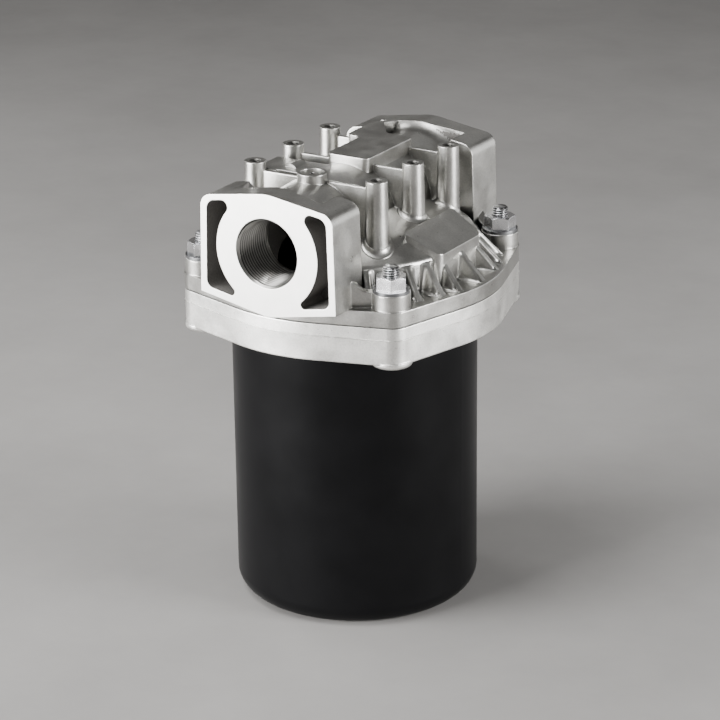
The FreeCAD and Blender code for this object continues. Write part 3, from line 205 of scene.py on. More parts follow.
class CastShapes(bpy.types.PropertyGroup):
    """Ribs and fillets of the cast head, as the die rounds them."""

    drum: length("Drum", "Outside of the drum", 75)
    flange: length("Flange", "Top of the flange above the joint", 9.5)
    rib_inner: length("Rib inner end", "Inner end of a rib, under the deck", 71)
    rib_ridge: length("Rib ridge", "Where a rib's ridge starts to fall", 75.4)
    rib_outer: length("Rib outer end", "Where a rib runs out on the flange", 91.2)
    rib_rise: length("Rib rise", "Top of a rib above the joint", 26.9)
    rib_top: length("Rib top", "Half thickness of a rib at its top", 2.1)
    rib_foot: length("Rib foot", "Half thickness of a rib at its foot", 3)
    fillet: length("Rib fillet", "Rounding at the foot of a rib", 2.8)
    post_fillet: length("Post fillet", "Rounding at the foot of a post", 3)
    post_radius: length("Post radius", "Radius of a post at its top", 6.5)
    post_draft: angle("Post draft", "Slope of a post's side", 1)
    seam_drop: length("Mould line drop", "Mould line of the clamp ring below its top", 7.5)
    seam_width: length("Mould line width", "Width of that line", 0.7)
    seam_height: length("Mould line height", "Height of that line over the ring's side", 0.3)
    neck_turn: length("Neck turn", "Where the pad's neck starts to fall, behind the middle", 64)
    neck_end: length("Neck end", "Where the neck meets the rear block's rim", 84)
    roof: angle("Roof", "Slope of the rear block's roof to each side", 8.75)


class PaintFinish(bpy.types.PropertyGroup):
    """Colour and gloss of the painted bowl."""

    paint: colour("Paint", "Black enamel of the bowl", "#0d0d0e")
    gloss: share("Roughness", "Roughness of the enamel", 0.34)
    cloud: length("Clouds", "Size of its slight changes of tone", 30)
    peel: length("Orange peel", "Size of the ripples in the enamel", 2.4)
    peel_height: length("Ripple height", "Height of those ripples", 0.012)


class PlatedFinish(bpy.types.PropertyGroup):
    """Colours of the plated and turned small pieces."""

    zinc: colour("Zinc", "Zinc plating of nuts and studs", "#eeeef0")
    washer: colour("Washers", "Duller zinc plating of the washers", "#8b8c8e")
    tin: colour("Tinned sheet", "Tinned steel of the element and the valve cage", "#b8b7b2")
    steel: colour("Spring steel", "Oiled spring steel", "#5d5c5a")
    # Painted shade: the brass is darkened for the shade in the passage where the valve sits.
    brass: colour("Brass", "Turned brass of the valve, dark with oil", "#4e4636")
    rubber: colour("Rubber", "Nitrile rubber of the seals", "#141414")
    paper: colour("Paper", "Resin-treated paper of the element", "#c9b184")


class StudioSizes(bpy.types.PropertyGroup):
    """The floor, the lights and the camera."""

    azimuth: angle("Azimuth", "Camera's turn about the filter, from the inlet side", 31.52)
    elevation: angle("Elevation", "Camera's height over the level", 20.68)
    roll: angle("Roll", "Camera's roll", 0.69)
    reach: length("Distance", "Camera's distance from its target", 1845.12)
    target: FloatVectorProperty(
        name="Target", description="Point that the camera looks at", subtype="XYZ", unit="LENGTH",
        default=(-0.04191, 0.0742, 0.115),
    )
    lens: FloatProperty(name="Lens", description="Focal length for a 36 mm sensor", default=140.98)
    floor: colour("Floor", "Pale floor and backdrop", "#918f8d")


GROUPS = {
    "filter_threads": ThreadSizes,
    "filter_cast": CastFinish,
    "filter_shapes": CastShapes,
    "filter_paint": PaintFinish,
    "filter_plated": PlatedFinish,
    "filter_studio": StudioSizes,
}


# Meshes


def merged_copy(node_name, piece_name):
    """A copy of a CAD node with its doubled vertices merged, as a new object."""
    source = frame["nodes"][node_name]
    mesh = source.data.copy()
    mesh.name = piece_name
    work = bmesh.new()
    work.from_mesh(mesh)
    bmesh.ops.remove_doubles(work, verts=work.verts, dist=MERGE)
    work.to_mesh(mesh)
    work.free()
    mesh.materials.clear()
    piece = bpy.data.objects.new(piece_name, mesh)
    bpy.context.scene.collection.objects.link(piece)
    return piece


def smooth_by_angle(mesh, degrees):
    """Shade faces smooth, and keep the edges sharp that turn by more than the angle."""
    work = bmesh.new()
    work.from_mesh(mesh)
    limit = math.radians(degrees)
    for edge in work.edges:
        edge.smooth = len(edge.link_faces) == 2 and edge.calc_face_angle(math.pi) < limit
    for face in work.faces:
        face.smooth = True
    work.to_mesh(mesh)
    work.free()


def grid_faces(rows, columns, closed=False):
    """Quads between the points of a grid whose columns close to a ring, and whose rows may close too."""
    row, column = np.meshgrid(np.arange(rows - (not closed)), np.arange(columns), indexing="ij")
    after, next_row = (column + 1) % columns, (row + 1) % rows
    corners = (row * columns + column, row * columns + after,
               next_row * columns + after, next_row * columns + column)
    return np.stack([corner.ravel() for corner in corners], axis=1)


def ring_grid(radius, along, turn):
    """Points of a tube about Z: one radius for each step along it and each turn round it."""
    return np.stack([radius * np.cos(turn), radius * np.sin(turn), along + 0 * turn], axis=-1)


def thread_wave(along, turn, pitch):
    """A thread's section, 0 at its crest and 1 at its root: straight flanks, rounded at both ends.

    The phase moves on by one pitch a turn, and its distance from the nearest crest, 0 to 1, is the
    flank. Three quarters of it and one quarter of its smooth step add up to the wave.
    """
    phase = (along / pitch - turn / (2 * np.pi)) % 1
    flank = 1 - np.abs(2 * phase - 1)
    return 0.75 * flank + 0.25 * flank * flank * (3 - 2 * flank)


def closed_tube(tube):
    """The points and faces of a tube about Z whose ends are closed by a point in the middle of each."""
    rows, columns = tube.shape[:2]
    middles = [tube[0].mean(axis=0), tube[-1].mean(axis=0)]
    points = np.concatenate([tube.reshape(-1, 3), middles])
    ring = np.arange(columns)
    after = np.roll(ring, -1)
    low, high, last = rows * columns, rows * columns + 1, (rows - 1) * columns
    bottom = np.stack([np.full(columns, low), after, ring], axis=1)
    top = np.stack([np.full(columns, high), last + ring, last + after], axis=1)
    return points, [*grid_faces(rows, columns).tolist(), *bottom.tolist(), *top.tolist()]


def joined(shells):
    """Several closed shells, each its points and faces, as the points and faces of one mesh."""
    starts = np.cumsum([0, *[len(points) for points, _ in shells]])
    faces = [[i + int(start) for i in face] for start, (_, some) in zip(starts, shells) for face in some]
    return np.concatenate([points for points, _ in shells]), faces


def add_piece(name, vertices, faces, material, body="housing"):
    """A mesh object of closed shells that rides on a body of the model, its faces turned outwards."""
    mesh = bpy.data.meshes.new(name)
    mesh.from_pydata(vertices.reshape(-1, 3).tolist(), [], [list(map(int, face)) for face in faces])
    work = bmesh.new()
    work.from_mesh(mesh)
    bmesh.ops.recalc_face_normals(work, faces=work.faces)
    work.to_mesh(mesh)
    work.free()
    mesh.materials.append(material)
    piece = bpy.data.objects.new(name, mesh)
    bpy.context.scene.collection.objects.link(piece)
    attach(piece, body)
    return piece


# Materials


def add_node(tree, kind, inputs=None, **settings):
    """Add a node. Each input is a value, an output that feeds it, or a node whose first output does."""
    item = tree.nodes.new(kind)
    for name, value in settings.items():
        setattr(item, name, value)
    for name, value in (inputs or {}).items():
        if isinstance(value, bpy.types.Node):
            value = value.outputs[0]
        if isinstance(value, bpy.types.NodeSocket):
            tree.links.new(value, item.inputs[name])
        else:
            item.inputs[name].default_value = value
    return item


def new_material(name):
    """An empty material, its node tree and the object's own coordinates."""
    material = bpy.data.materials.new(name)
    material.use_nodes = True
    tree = material.node_tree
    tree.nodes.clear()
    return material, tree, add_node(tree, "ShaderNodeTexCoord").outputs["Object"]


def between(low, high):
    """The range that noise, which lies between 0.3 and 0.7, is stretched to."""
    return {"From Min": 0.3, "From Max": 0.7, "To Min": low, "To Max": high}


def uneven(roughness):
    """The range of roughness on a metal whose gloss changes a little from place to place."""
    return between(roughness - 0.05, roughness + 0.07)


def die_cast(name, base, roughness, grain_height, darkest):
    """Die-cast aluminium, tumbled: satin, patchy where the melt cooled, grained, and with painted shade that
    darkens its corners.
    """
    cast = bpy.context.scene.filter_cast
    material, tree, place = new_material(name)
    patches = add_node(tree, "ShaderNodeTexNoise", {
        "Vector": place, "Scale": 1 / cast.patch, "Detail": 5.0, "Roughness": 0.6})
    grain = add_node(tree, "ShaderNodeTexNoise", {
        "Vector": place, "Scale": 1 / cast.grain, "Detail": 3.0, "Roughness": 0.65})
    pores = add_node(tree, "ShaderNodeTexVoronoi", {"Vector": place, "Scale": 1 / cast.pore})
    # Painted shade: ambient occlusion darkens the colour in corners and recesses, where shade falls.
    corner = add_node(tree, "ShaderNodeAmbientOcclusion", {"Distance": cast.corner}, samples=8)
    tone = add_node(tree, "ShaderNodeMapRange", {"Value": patches, **between(darkest, 1.1)})
    mottle = add_node(tree, "ShaderNodeMapRange", {"Value": grain, **between(0.88, 1.08)})
    speck = add_node(tree, "ShaderNodeMapRange", {
        "Value": pores, "From Min": 0.04, "From Max": 0.1, "To Min": 0.65, "To Max": 1.0})
    painted_corner_shade = add_node(tree, "ShaderNodeMapRange", {
        "Value": corner.outputs["AO"], "From Min": 0.05, "From Max": 0.7,
        "To Min": cast.painted_corner_shade, "To Max": 1.0})
    gain = tone
    for factor in (mottle, speck, painted_corner_shade):
        gain = add_node(tree, "ShaderNodeMath", {0: gain, 1: factor}, operation="MULTIPLY")
    skin = add_node(tree, "ShaderNodeHueSaturation", {"Value": gain, "Color": (*base, 1)})
    gloss = add_node(tree, "ShaderNodeMapRange", {"Value": patches, **uneven(roughness)})
    edge = add_node(tree, "ShaderNodeBevel", {"Radius": cast.edge}, samples=8)
    relief = add_node(tree, "ShaderNodeBump", {
        "Height": grain, "Distance": grain_height, "Strength": 1.0, "Normal": edge})
    surface = add_node(tree, "ShaderNodeBsdfPrincipled", {
        "Base Color": skin, "Metallic": 1.0, "Roughness": gloss, "Normal": relief})
    add_node(tree, "ShaderNodeOutputMaterial", {"Surface": surface})
    return material


def cut_aluminium():
    """Cut aluminium of the machined faces: bright, with the rings that the tool left about Y.

    A real cut's rings are a fraction of a millimetre apart, too fine to show, so these are coarser.
    """
    cast = bpy.context.scene.filter_cast
    material, tree, place = new_material("cut_aluminium")
    axis = (0, 0, -MOUNTS["inlet_port"]["pos_m"][2])
    centre = add_node(tree, "ShaderNodeMapping", {"Vector": place, "Location": axis})
    rings = add_node(tree, "ShaderNodeTexWave", {
        "Vector": centre, "Scale": RING_SPACING / cast.tool_step, "Distortion": 0.6, "Detail": 2.0,
    }, wave_type="RINGS", rings_direction="Y")
    cloud = add_node(tree, "ShaderNodeTexNoise", {"Vector": place, "Scale": 1 / cast.patch, "Detail": 3.0})
    tone = add_node(tree, "ShaderNodeMapRange", {"Value": cloud, **between(0.93, 1.0)})
    skin = add_node(tree, "ShaderNodeHueSaturation", {"Value": tone, "Color": (*cast.machined, 1)})
    edge = add_node(tree, "ShaderNodeBevel", {"Radius": cast.edge / 2}, samples=8)
    relief = add_node(tree, "ShaderNodeBump", {
        "Height": rings, "Distance": cast.tool_height, "Strength": 1.0, "Normal": edge})
    surface = add_node(tree, "ShaderNodeBsdfPrincipled", {
        "Base Color": skin, "Metallic": 1.0, "Roughness": ROUGHNESS["cut"], "Normal": relief})
    add_node(tree, "ShaderNodeOutputMaterial", {"Surface": surface})
    return material


def threaded(name, base, roughness, left):
    """Metal of a thread: its colour stays on the crests and is darkened in the roots as painted shade.

    Of its brightness, the share left stays in the roots.
    """
    material, tree, place = new_material(name)
    root = add_node(tree, "ShaderNodeAttribute", attribute_name="root").outputs["Fac"]
    cloud = add_node(tree, "ShaderNodeTexNoise", {"Vector": place, "Scale": 1 / (6 * MM), "Detail": 3.0})
    tone = add_node(tree, "ShaderNodeMapRange", {"Value": cloud, **between(0.9, 1.05)})
    # Painted shade: the colour darkens towards the thread's roots.
    dark = add_node(tree, "ShaderNodeMapRange", {
        "Value": root, "From Min": 0.15, "From Max": 0.75, "To Min": 1.0, "To Max": left})
    gain = add_node(tree, "ShaderNodeMath", {0: tone, 1: dark}, operation="MULTIPLY")
    skin = add_node(tree, "ShaderNodeHueSaturation", {"Value": gain, "Color": (*base, 1)})
    surface = add_node(tree, "ShaderNodeBsdfPrincipled", {
        "Base Color": skin, "Metallic": 1.0, "Roughness": roughness})
    add_node(tree, "ShaderNodeOutputMaterial", {"Surface": surface})
    return material


def pocket_painted_shade():
    """Darker, matt, non-metallic skin in the cored pockets and passages: painted shade for the shade deep in
    them.
    """
    cast = bpy.context.scene.filter_cast
    material, tree, place = new_material("pocket_painted_shade")
    grain = add_node(tree, "ShaderNodeTexNoise", {"Vector": place, "Scale": 1 / cast.grain, "Detail": 3.0})
    tone = add_node(tree, "ShaderNodeMapRange", {"Value": grain, **between(0.85, 1.15)})
    skin = add_node(tree, "ShaderNodeHueSaturation", {"Value": tone, "Color": (*cast.pocket, 1)})
    surface = add_node(tree, "ShaderNodeBsdfPrincipled", {
        "Base Color": skin, "Metallic": 0.0, "Roughness": ROUGHNESS["pocket"]})
    add_node(tree, "ShaderNodeOutputMaterial", {"Surface": surface})
    return material


def black_enamel():
    """Stoved black enamel on drawn steel: a deep even black, with a faint orange peel.

    Its reflection is set far below a gloss enamel's, because the real bowl hardly shines.
    """
    paint = bpy.context.scene.filter_paint
    material, tree, place = new_material("black_enamel")
    ripples = add_node(tree, "ShaderNodeTexNoise", {"Vector": place, "Scale": 1 / paint.peel, "Detail": 2.0})
    cloud = add_node(tree, "ShaderNodeTexNoise", {"Vector": place, "Scale": 1 / paint.cloud, "Detail": 3.0})
    tone = add_node(tree, "ShaderNodeMapRange", {"Value": cloud, **between(0.85, 1.15)})
    skin = add_node(tree, "ShaderNodeHueSaturation", {"Value": tone, "Color": (*paint.paint, 1)})
    gloss = add_node(tree, "ShaderNodeMapRange", {
        "Value": cloud, **between(paint.gloss - 0.03, paint.gloss + 0.03)})
    relief = add_node(tree, "ShaderNodeBump", {
        "Height": ripples, "Distance": paint.peel_height, "Strength": 1.0})
    surface = add_node(tree, "ShaderNodeBsdfPrincipled", {
        "Base Color": skin, "Roughness": gloss, "Normal": relief, "Specular IOR Level": 0.09})
    add_node(tree, "ShaderNodeOutputMaterial", {"Surface": surface})
    return material


def plated(name, base, roughness, lump_mm=6):
    """Plated or bare metal of a small piece: even, with slight changes of gloss."""
    material, tree, place = new_material(name)
    cloud = add_node(tree, "ShaderNodeTexNoise", {
        "Vector": place, "Scale": 1 / (lump_mm * MM), "Detail": 4.0})
    scuffs = add_node(tree, "ShaderNodeTexNoise", {"Vector": place, "Scale": 1 / (0.9 * MM), "Detail": 2.0})
    tone = add_node(tree, "ShaderNodeMapRange", {"Value": cloud, **between(0.85, 1.06)})
    skin = add_node(tree, "ShaderNodeHueSaturation", {"Value": tone, "Color": (*base, 1)})
    gloss = add_node(tree, "ShaderNodeMapRange", {"Value": cloud, **uneven(roughness)})
    edge = add_node(tree, "ShaderNodeBevel", {"Radius": 0.35 * MM}, samples=6)
    relief = add_node(tree, "ShaderNodeBump", {
        "Height": scuffs, "Distance": 0.01 * MM, "Strength": 1.0, "Normal": edge})
    surface = add_node(tree, "ShaderNodeBsdfPrincipled", {
        "Base Color": skin, "Metallic": 1.0, "Roughness": gloss, "Normal": relief})
    add_node(tree, "ShaderNodeOutputMaterial", {"Surface": surface})
    return material


def matt_stuff(name, base, roughness, fibre_mm, height_mm):
    """Rubber, paper or card: matt, with lumps or fibres of one size and height, in millimetres."""
    material, tree, place = new_material(name)
    fibres = add_node(tree, "ShaderNodeTexNoise", {
        "Vector": place, "Scale": 1 / (fibre_mm * MM), "Detail": 6.0, "Roughness": 0.7})
    tone = add_node(tree, "ShaderNodeMapRange", {"Value": fibres, **between(0.85, 1.1)})
    skin = add_node(tree, "ShaderNodeHueSaturation", {"Value": tone, "Color": (*base, 1)})
    relief = add_node(tree, "ShaderNodeBump", {
        "Height": fibres, "Distance": height_mm * MM, "Strength": 1.0})
    surface = add_node(tree, "ShaderNodeBsdfPrincipled", {
        "Base Color": skin, "Roughness": roughness, "Normal": relief})
    add_node(tree, "ShaderNodeOutputMaterial", {"Surface": surface})
    return material


def finish_node(name, material):
    """Give a CAD node its finish."""
    slots = frame["nodes"][name].material_slots
    if not slots:
        raise RuntimeError(f"{name} has no material slot")
    for slot in slots:
        slot.material = material


# Operators


class FILTER_OT_head(bpy.types.Operator):
    """Cut the port threads into the head and give its faces their cast and cut finishes"""

    bl_idname = "filter.head"
    bl_label = "Head and Port Threads"

    def execute(self, context):
        cast = context.scene.filter_cast
        piece = merged_copy("head", "head_casting")
        # Painted shade: the cast finish darkens its corners, the thread finishes their roots, and the pocket
        # finish the pockets and passages.
        finishes = (
            die_cast("die_cast_aluminium", cast.head, ROUGHNESS["head"], cast.grain_height, darkest=0.84),
            cut_aluminium(),
            threaded("cut_thread", cast.bore, ROUGHNESS["port_thread"], left=0.04),
            pocket_painted_shade(),
            threaded("tapped_post", cast.tapped, ROUGHNESS["post_thread"], left=0.05),
        )
        for finish in finishes:
            piece.data.materials.append(finish)
        cut_port_threads(piece.data, context.scene.filter_threads)
        cut_post_threads(piece.data, context.scene.filter_threads, context.scene.filter_shapes)
        ease_neck(piece.data, context.scene.filter_shapes)
        mark_cut_faces(piece.data, context.scene.filter_threads)
        smooth_by_angle(piece.data, degrees=24)
        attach(piece, "housing")
        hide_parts("head")
        return {"FINISHED"}


def cut_port_threads(mesh, sizes):
    """Thread both ports."""
    for name in ("inlet_port", "outlet_port"):
        mount = MOUNTS[name]
        side = mount["axis"][1]
        start = Vector((0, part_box("head")[0 if side < 0 else 1].y, mount["pos_m"][2]))
        cut_one_thread(mesh, start, Vector((0, -side, 0)), mount["dims"]["r_mm"] * MM, sizes.port_major / 2,
                       sizes.port_mouth / 2, sizes.port_depth, sizes.port_pitch, sizes.columns, sizes.rows)


def post_tops():
    """The middle of each post's top."""
    mount = MOUNTS["corner_posts"]
    across, along = mount["dims"]["spacing_x_mm"] / 2 * MM, mount["dims"]["spacing_y_mm"] / 2 * MM
    return [Vector((x, y, mount["pos_m"][2])) for x in (-across, across) for y in (-along, 0, along)]


def cut_post_threads(mesh, sizes, shapes):
    """Thread the posts' holes and countersink them: first their flat tops go, as far as the posts' rims.

    These small threads have about half the steps of a port's along a pitch.
    """
    rows = max(4, sizes.rows // 2 + 1)
    minor = MOUNTS["corner_posts"]["dims"]["hole_r_mm"] * MM
    for top in post_tops():
        work = bmesh.new()
        work.from_mesh(mesh)
        rim = shapes.post_radius + NEAR
        flats = [
            face for face in work.faces
            if all(abs(v.co.z - top.z) < NEAR and (v.co - top).length < rim for v in face.verts)
        ]
        bmesh.ops.delete(work, geom=flats, context="FACES")
        work.to_mesh(mesh)
        work.free()
        cut_one_thread(mesh, top, Vector((0, 0, -1)), minor, sizes.post_major / 2, sizes.post_mouth / 2,
                       sizes.post_depth, sizes.post_pitch, sizes.stud_columns, rows)


def cut_one_thread(mesh, start, into, minor, major, mouth, depth, pitch, columns, rows):
    """Replace a plain bore by a thread, from the middle of its mouth and into the metal.

    The radius is that of the thread, which fades out in its last turn, or of the mouth's 45 degree
    cone where the cone is wider. The attribute root is 1 at the thread's root and 0 at its crest.
    """
    work = bmesh.new()
    work.from_mesh(mesh)
    root = work.verts.layers.float.get("root") or work.verts.layers.float.new("root")
    side = into.orthogonal().normalized()
    other = into.cross(side)
    doomed = []
    for item in work.faces:
        inward = (item.calc_center_median() - start).dot(into)
        radii = [(v.co - start - (v.co - start).dot(into) * into).length for v in item.verts]
        if NEAR < inward < depth - NEAR and minor - NEAR < min(radii) and max(radii) < mouth + NEAR:
            doomed.append(item)
    bmesh.ops.delete(work, geom=doomed, context="FACES")
    edges = [edge for edge in work.edges if len(edge.link_faces) == 1]
    steps = int(round(depth / pitch * rows))
    inward, turn = np.meshgrid(
        np.linspace(NEAR, depth - NEAR, steps), np.linspace(0, 2 * np.pi, columns, endpoint=False),
        indexing="ij",
    )
    wave = thread_wave(inward, turn, pitch) * np.clip((depth - inward) / pitch, 0, 1)
    thread, cone = minor + (major - minor) * wave, mouth - inward
    tube = ring_grid(np.maximum(thread, cone), inward, turn)
    points = np.array(start) + tube @ np.array([side, other, into])
    hollow = np.where(thread > cone, wave, 0)
    verts = [work.verts.new(point) for point in points.reshape(-1, 3).tolist()]
    for vert, value in zip(verts, hollow.ravel().tolist()):
        vert[root] = value
    for a, b, c, d in grid_faces(steps, columns):
        work.faces.new([verts[i] for i in (a, b, c, d)])
    for ring, far in zip((verts[:columns], verts[-columns:]), (False, True)):
        near = [edge for edge in edges if ((edge.verts[0].co - start).dot(into) > depth / 2) == far]
        loop = {edge for vert in ring for edge in vert.link_edges if edge.other_vert(vert) in set(ring)}
        bmesh.ops.bridge_loops(work, edges=near + list(loop))
    bmesh.ops.recalc_face_normals(work, faces=work.faces)
    work.to_mesh(mesh)
    work.free()


def ease_neck(mesh, shapes):
    """Slope the end of the neck down to the rear port block's roof, as the casting's does.

    The level top is cut across where the neck turns, and the corners at the block's rim come down to
    the roof, which falls straight from the middle to both sides.
    """
    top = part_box("head")[1].z
    work = bmesh.new()
    work.from_mesh(mesh)
    level = [
        face for face in work.faces
        if all(top - v.co.z < NEAR and v.co.y > NECK_FRONT for v in face.verts)
    ]
    parts = {item for face in level for item in (face, *face.edges, *face.verts)}
    bmesh.ops.bisect_plane(work, geom=list(parts), plane_co=(0, shapes.neck_turn, 0), plane_no=(0, 1, 0))
    for vert in work.verts:
        if top - vert.co.z < NEAR and abs(vert.co.y - shapes.neck_end) < NEAR and vert.co.x < NECK_SIDE:
            vert.co.z = top - abs(vert.co.x) * math.tan(shapes.roof)
    work.to_mesh(mesh)
    work.free()


def in_pocket(x, y, z, face_y):
    """True inside the four cored pockets of the port faces, whose faces get the painted shade of the pockets.

    A pocket lies outside the ring about a port, and its walls are thicker than 2 mm: it ends that far
    below the block's sloping top, above its sloping keel and inside its drafted side.
    """
    across, deep = abs(x) / MM, (face_y - abs(y)) / MM
    up = z / MM - MOUNTS["inlet_port"]["pos_m"][2] / MM
    outside = math.hypot(across, up) > POCKET_RING
    between_edges = POCKET_KEEL + across * KEEL_RISE < up < POCKET_ROOF - across * ROOF_FALL
    return outside and NEAR / MM < deep < POCKET_DEPTH and across < POCKET_SIDE and between_edges


def mark_cut_faces(mesh, sizes):
    """Give their finishes to the cut faces and the threads, and the painted shade to the cored pockets and
    passages.
    """
    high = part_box("head")[1]
    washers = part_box("washers")[0].z
    port_height = MOUNTS["inlet_port"]["pos_m"][2]
    bore = MOUNTS["inlet_port"]["dims"]["r_mm"] * MM
    tops = post_tops()
    for face in mesh.polygons:
        x, y, z = face.center
        up, along = face.normal.z, face.normal.y
        from_axis = math.hypot(x, z - port_height)
        flat = (high.y - abs(y) < NEAR and abs(along) > SQUARE) or (up > SQUARE and abs(z - washers) < NEAR)
        port = from_axis < sizes.port_mouth / 2 and abs(y) > high.y - sizes.port_depth
        hole = z > high.z - sizes.post_depth - NEAR and up < SQUARE and any(
            math.hypot(x - top.x, y - top.y) < sizes.post_mouth / 2 for top in tops)
        if flat:
            face.material_index = CUT
        elif port or hole:
            face.material_index = PORT_THREAD if port else POST_THREAD
        elif in_pocket(x, y, z, high.y) or from_axis < bore:
            face.material_index = POCKET


def rib_section(height, top, foot, fillet, steps=6):
    """Half a rib's section from its foot to the middle of its top, as offsets across it and heights.

    The foot is a quarter circle that starts level, the wall a straight line, and the top a quarter
    circle that ends level. Where the rib is low, both circles shrink with it.
    """
    turn = np.linspace(0, np.pi / 2, steps)
    round_foot, round_top = np.minimum(fillet, height / 3), np.minimum(top, height * 0.6)
    across = np.concatenate([foot + round_foot * (1 - np.sin(turn)), round_top * np.cos(turn)])
    up = np.concatenate([round_foot * (1 - np.cos(turn)), height - round_top * (1 - np.sin(turn))])
    return across, up


def rib_shell(shapes, joint, degrees, inner_steps=4, outer_steps=26):
    """One radial rib as a closed tube of sections along its length.

    Its ridge is level to just beyond the drum's wall and then falls straight to the flange. Near the
    wall both halves widen by a quarter circle, so that the rib runs into the drum without a corner.
    """
    base = shapes.flange
    outside = (shapes.rib_outer - shapes.drum) * np.linspace(0.02, 1, outer_steps)
    along = np.concatenate([np.linspace(shapes.rib_inner, shapes.drum, inner_steps), shapes.drum + outside])
    fall = np.clip((along - shapes.rib_ridge) / (shapes.rib_outer - shapes.rib_ridge), 0, 1)
    height = (shapes.rib_rise - base) * (1 - fall) + NEAR
    gap = np.clip(shapes.fillet - (along - shapes.drum), 0, shapes.fillet)
    flare = shapes.fillet - np.sqrt(shapes.fillet**2 - gap**2)
    rows = []
    for reach, rise, wide in zip(along, height, flare):
        across, up = rib_section(rise, shapes.rib_top, shapes.rib_foot, shapes.fillet)
        across, up = across + wide, up + base
        across = np.concatenate([across, -across[-2::-1], [-across[0], across[0]]])
        up = np.concatenate([up, up[-2::-1], [base - RIB_SINK] * 2])
        rows.append(np.stack([np.full_like(across, reach), across, joint + up], axis=-1))
    turn = math.radians(degrees)
    spin = np.array([[math.cos(turn), math.sin(turn), 0], [-math.sin(turn), math.cos(turn), 0], [0, 0, 1]])
    return closed_tube(np.array(rows) @ spin)


def post_collar(shapes, joint, middle, turn_steps=48, bend_steps=7):
    """The fillet at the foot of a post, as a ring that is closed both ways.

    Its section is a quarter circle that starts level on the deck and ends upright on the post, and
    two points inside the metal close it. Its heights follow the deck's cone.
    """
    turn, bend = np.meshgrid(np.linspace(0, 2 * np.pi, turn_steps, endpoint=False),
                             np.linspace(0, np.pi / 2, bend_steps), indexing="ij")

    def deck(radius):
        x, y = middle.x + radius * np.cos(turn[:, :1]), middle.y + radius * np.sin(turn[:, :1])
        return joint + np.interp(np.hypot(x, y) / MM, DECK_RADII, DECK_RISES) * MM

    foot = shapes.post_radius + (middle.z - deck(shapes.post_radius)) * math.tan(shapes.post_draft)
    radius = foot + shapes.post_fillet * (1 - np.sin(bend))
    rise = deck(radius) + shapes.post_fillet * (1 - np.cos(bend))
    hidden = foot - COLLAR_SINK
    radius = np.concatenate([radius, hidden, hidden], axis=1)
    rise = np.concatenate([rise, rise[:, -1:], deck(foot) - COLLAR_SINK], axis=1)
    wide = np.repeat(turn[:, :1], radius.shape[1], axis=1)
    points = np.stack([middle.x + radius * np.cos(wide), middle.y + radius * np.sin(wide), rise], axis=-1)
    return points.reshape(-1, 3), grid_faces(*radius.shape, closed=True).tolist()


class FILTER_OT_ribs(bpy.types.Operator):
    """Round the ribs on the drum and the feet of the posts as the die does"""

    bl_idname = "filter.ribs"
    bl_label = "Ribs and Fillets"

    def execute(self, context):
        shapes = context.scene.filter_shapes
        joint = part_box("clamp_ring")[1].z + RING_GAP
        finish = bpy.data.materials["die_cast_aluminium"]
        angles = {180 * side + turn * one for side in (0, 1) for one in RIB_ANGLES for turn in (-1, 1)}
        points, faces = joined([rib_shell(shapes, joint, one) for one in sorted(angles)])
        ribs = add_piece("drum_ribs", points, faces, finish)
        points, faces = joined([post_collar(shapes, joint, top) for top in post_tops()])
        collars = add_piece("post_fillets", points, faces, finish)
        for piece in (ribs, collars):
            smooth_by_angle(piece.data, degrees=40)
        return {"FINISHED"}


class FILTER_OT_mould_line(bpy.types.Operator):
    """Raise the line that the two halves of the mould left round the clamp ring"""

    bl_idname = "filter.mould_line"
    bl_label = "Mould Line"

    def execute(self, context):
        shapes = context.scene.filter_shapes
        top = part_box("clamp_ring")[1].z
        height = top - shapes.seam_drop
        source = frame["nodes"]["clamp_ring"]
        every = np.array([source.matrix_world @ vert.co for vert in source.data.vertices])
        radii = np.hypot(every[:, 0], every[:, 1])
        level = np.abs(every[:, 2] - height) < MOULD_LEVEL
        edge = every[level & (radii > shapes.drum + MOULD_INSIDE)]
        if len(edge) < MOULD_POINTS:
            raise RuntimeError("the clamp ring has no outline at its mould line")
        edge = edge[np.argsort(np.arctan2(edge[:, 1], edge[:, 0]))]
        points, faces = mould_ridge(edge[:, :2], height, shapes.seam_width / 2, shapes.seam_height)
        points = np.clip(points, *np.array(CAD_BOX))  # the line adds nothing to the part's size
        piece = add_piece("ring_mould_line", points, faces, bpy.data.materials["satin_cast_ring"])
        smooth_by_angle(piece.data, degrees=50)
        return {"FINISHED"}


def mould_ridge(outline, height, half, rise):
    """A low ridge round an outline: a triangle's section that points outwards, closed both ways.

    Outwards is square to the line between the two neighbours of each point, and a base inside the
    metal closes the section.
    """
    keep = np.linalg.norm(outline - np.roll(outline, 1, axis=0), axis=1) > MOULD_STEP
    outline = outline[keep]
    along = np.roll(outline, -1, axis=0) - np.roll(outline, 1, axis=0)
    outward = np.stack([along[:, 1], -along[:, 0]], axis=1) / np.linalg.norm(along, axis=1, keepdims=True)
    out = np.array([-rise, 0, rise, 0])
    up = np.array([0, -half, 0, half])
    flat = outline[:, None, :] + outward[:, None, :] * out[None, :, None]
    points = np.concatenate([flat, np.broadcast_to(height + up, flat.shape[:2])[..., None]], axis=2)
    return points.reshape(-1, 3), grid_faces(len(outline), len(out), closed=True).tolist()


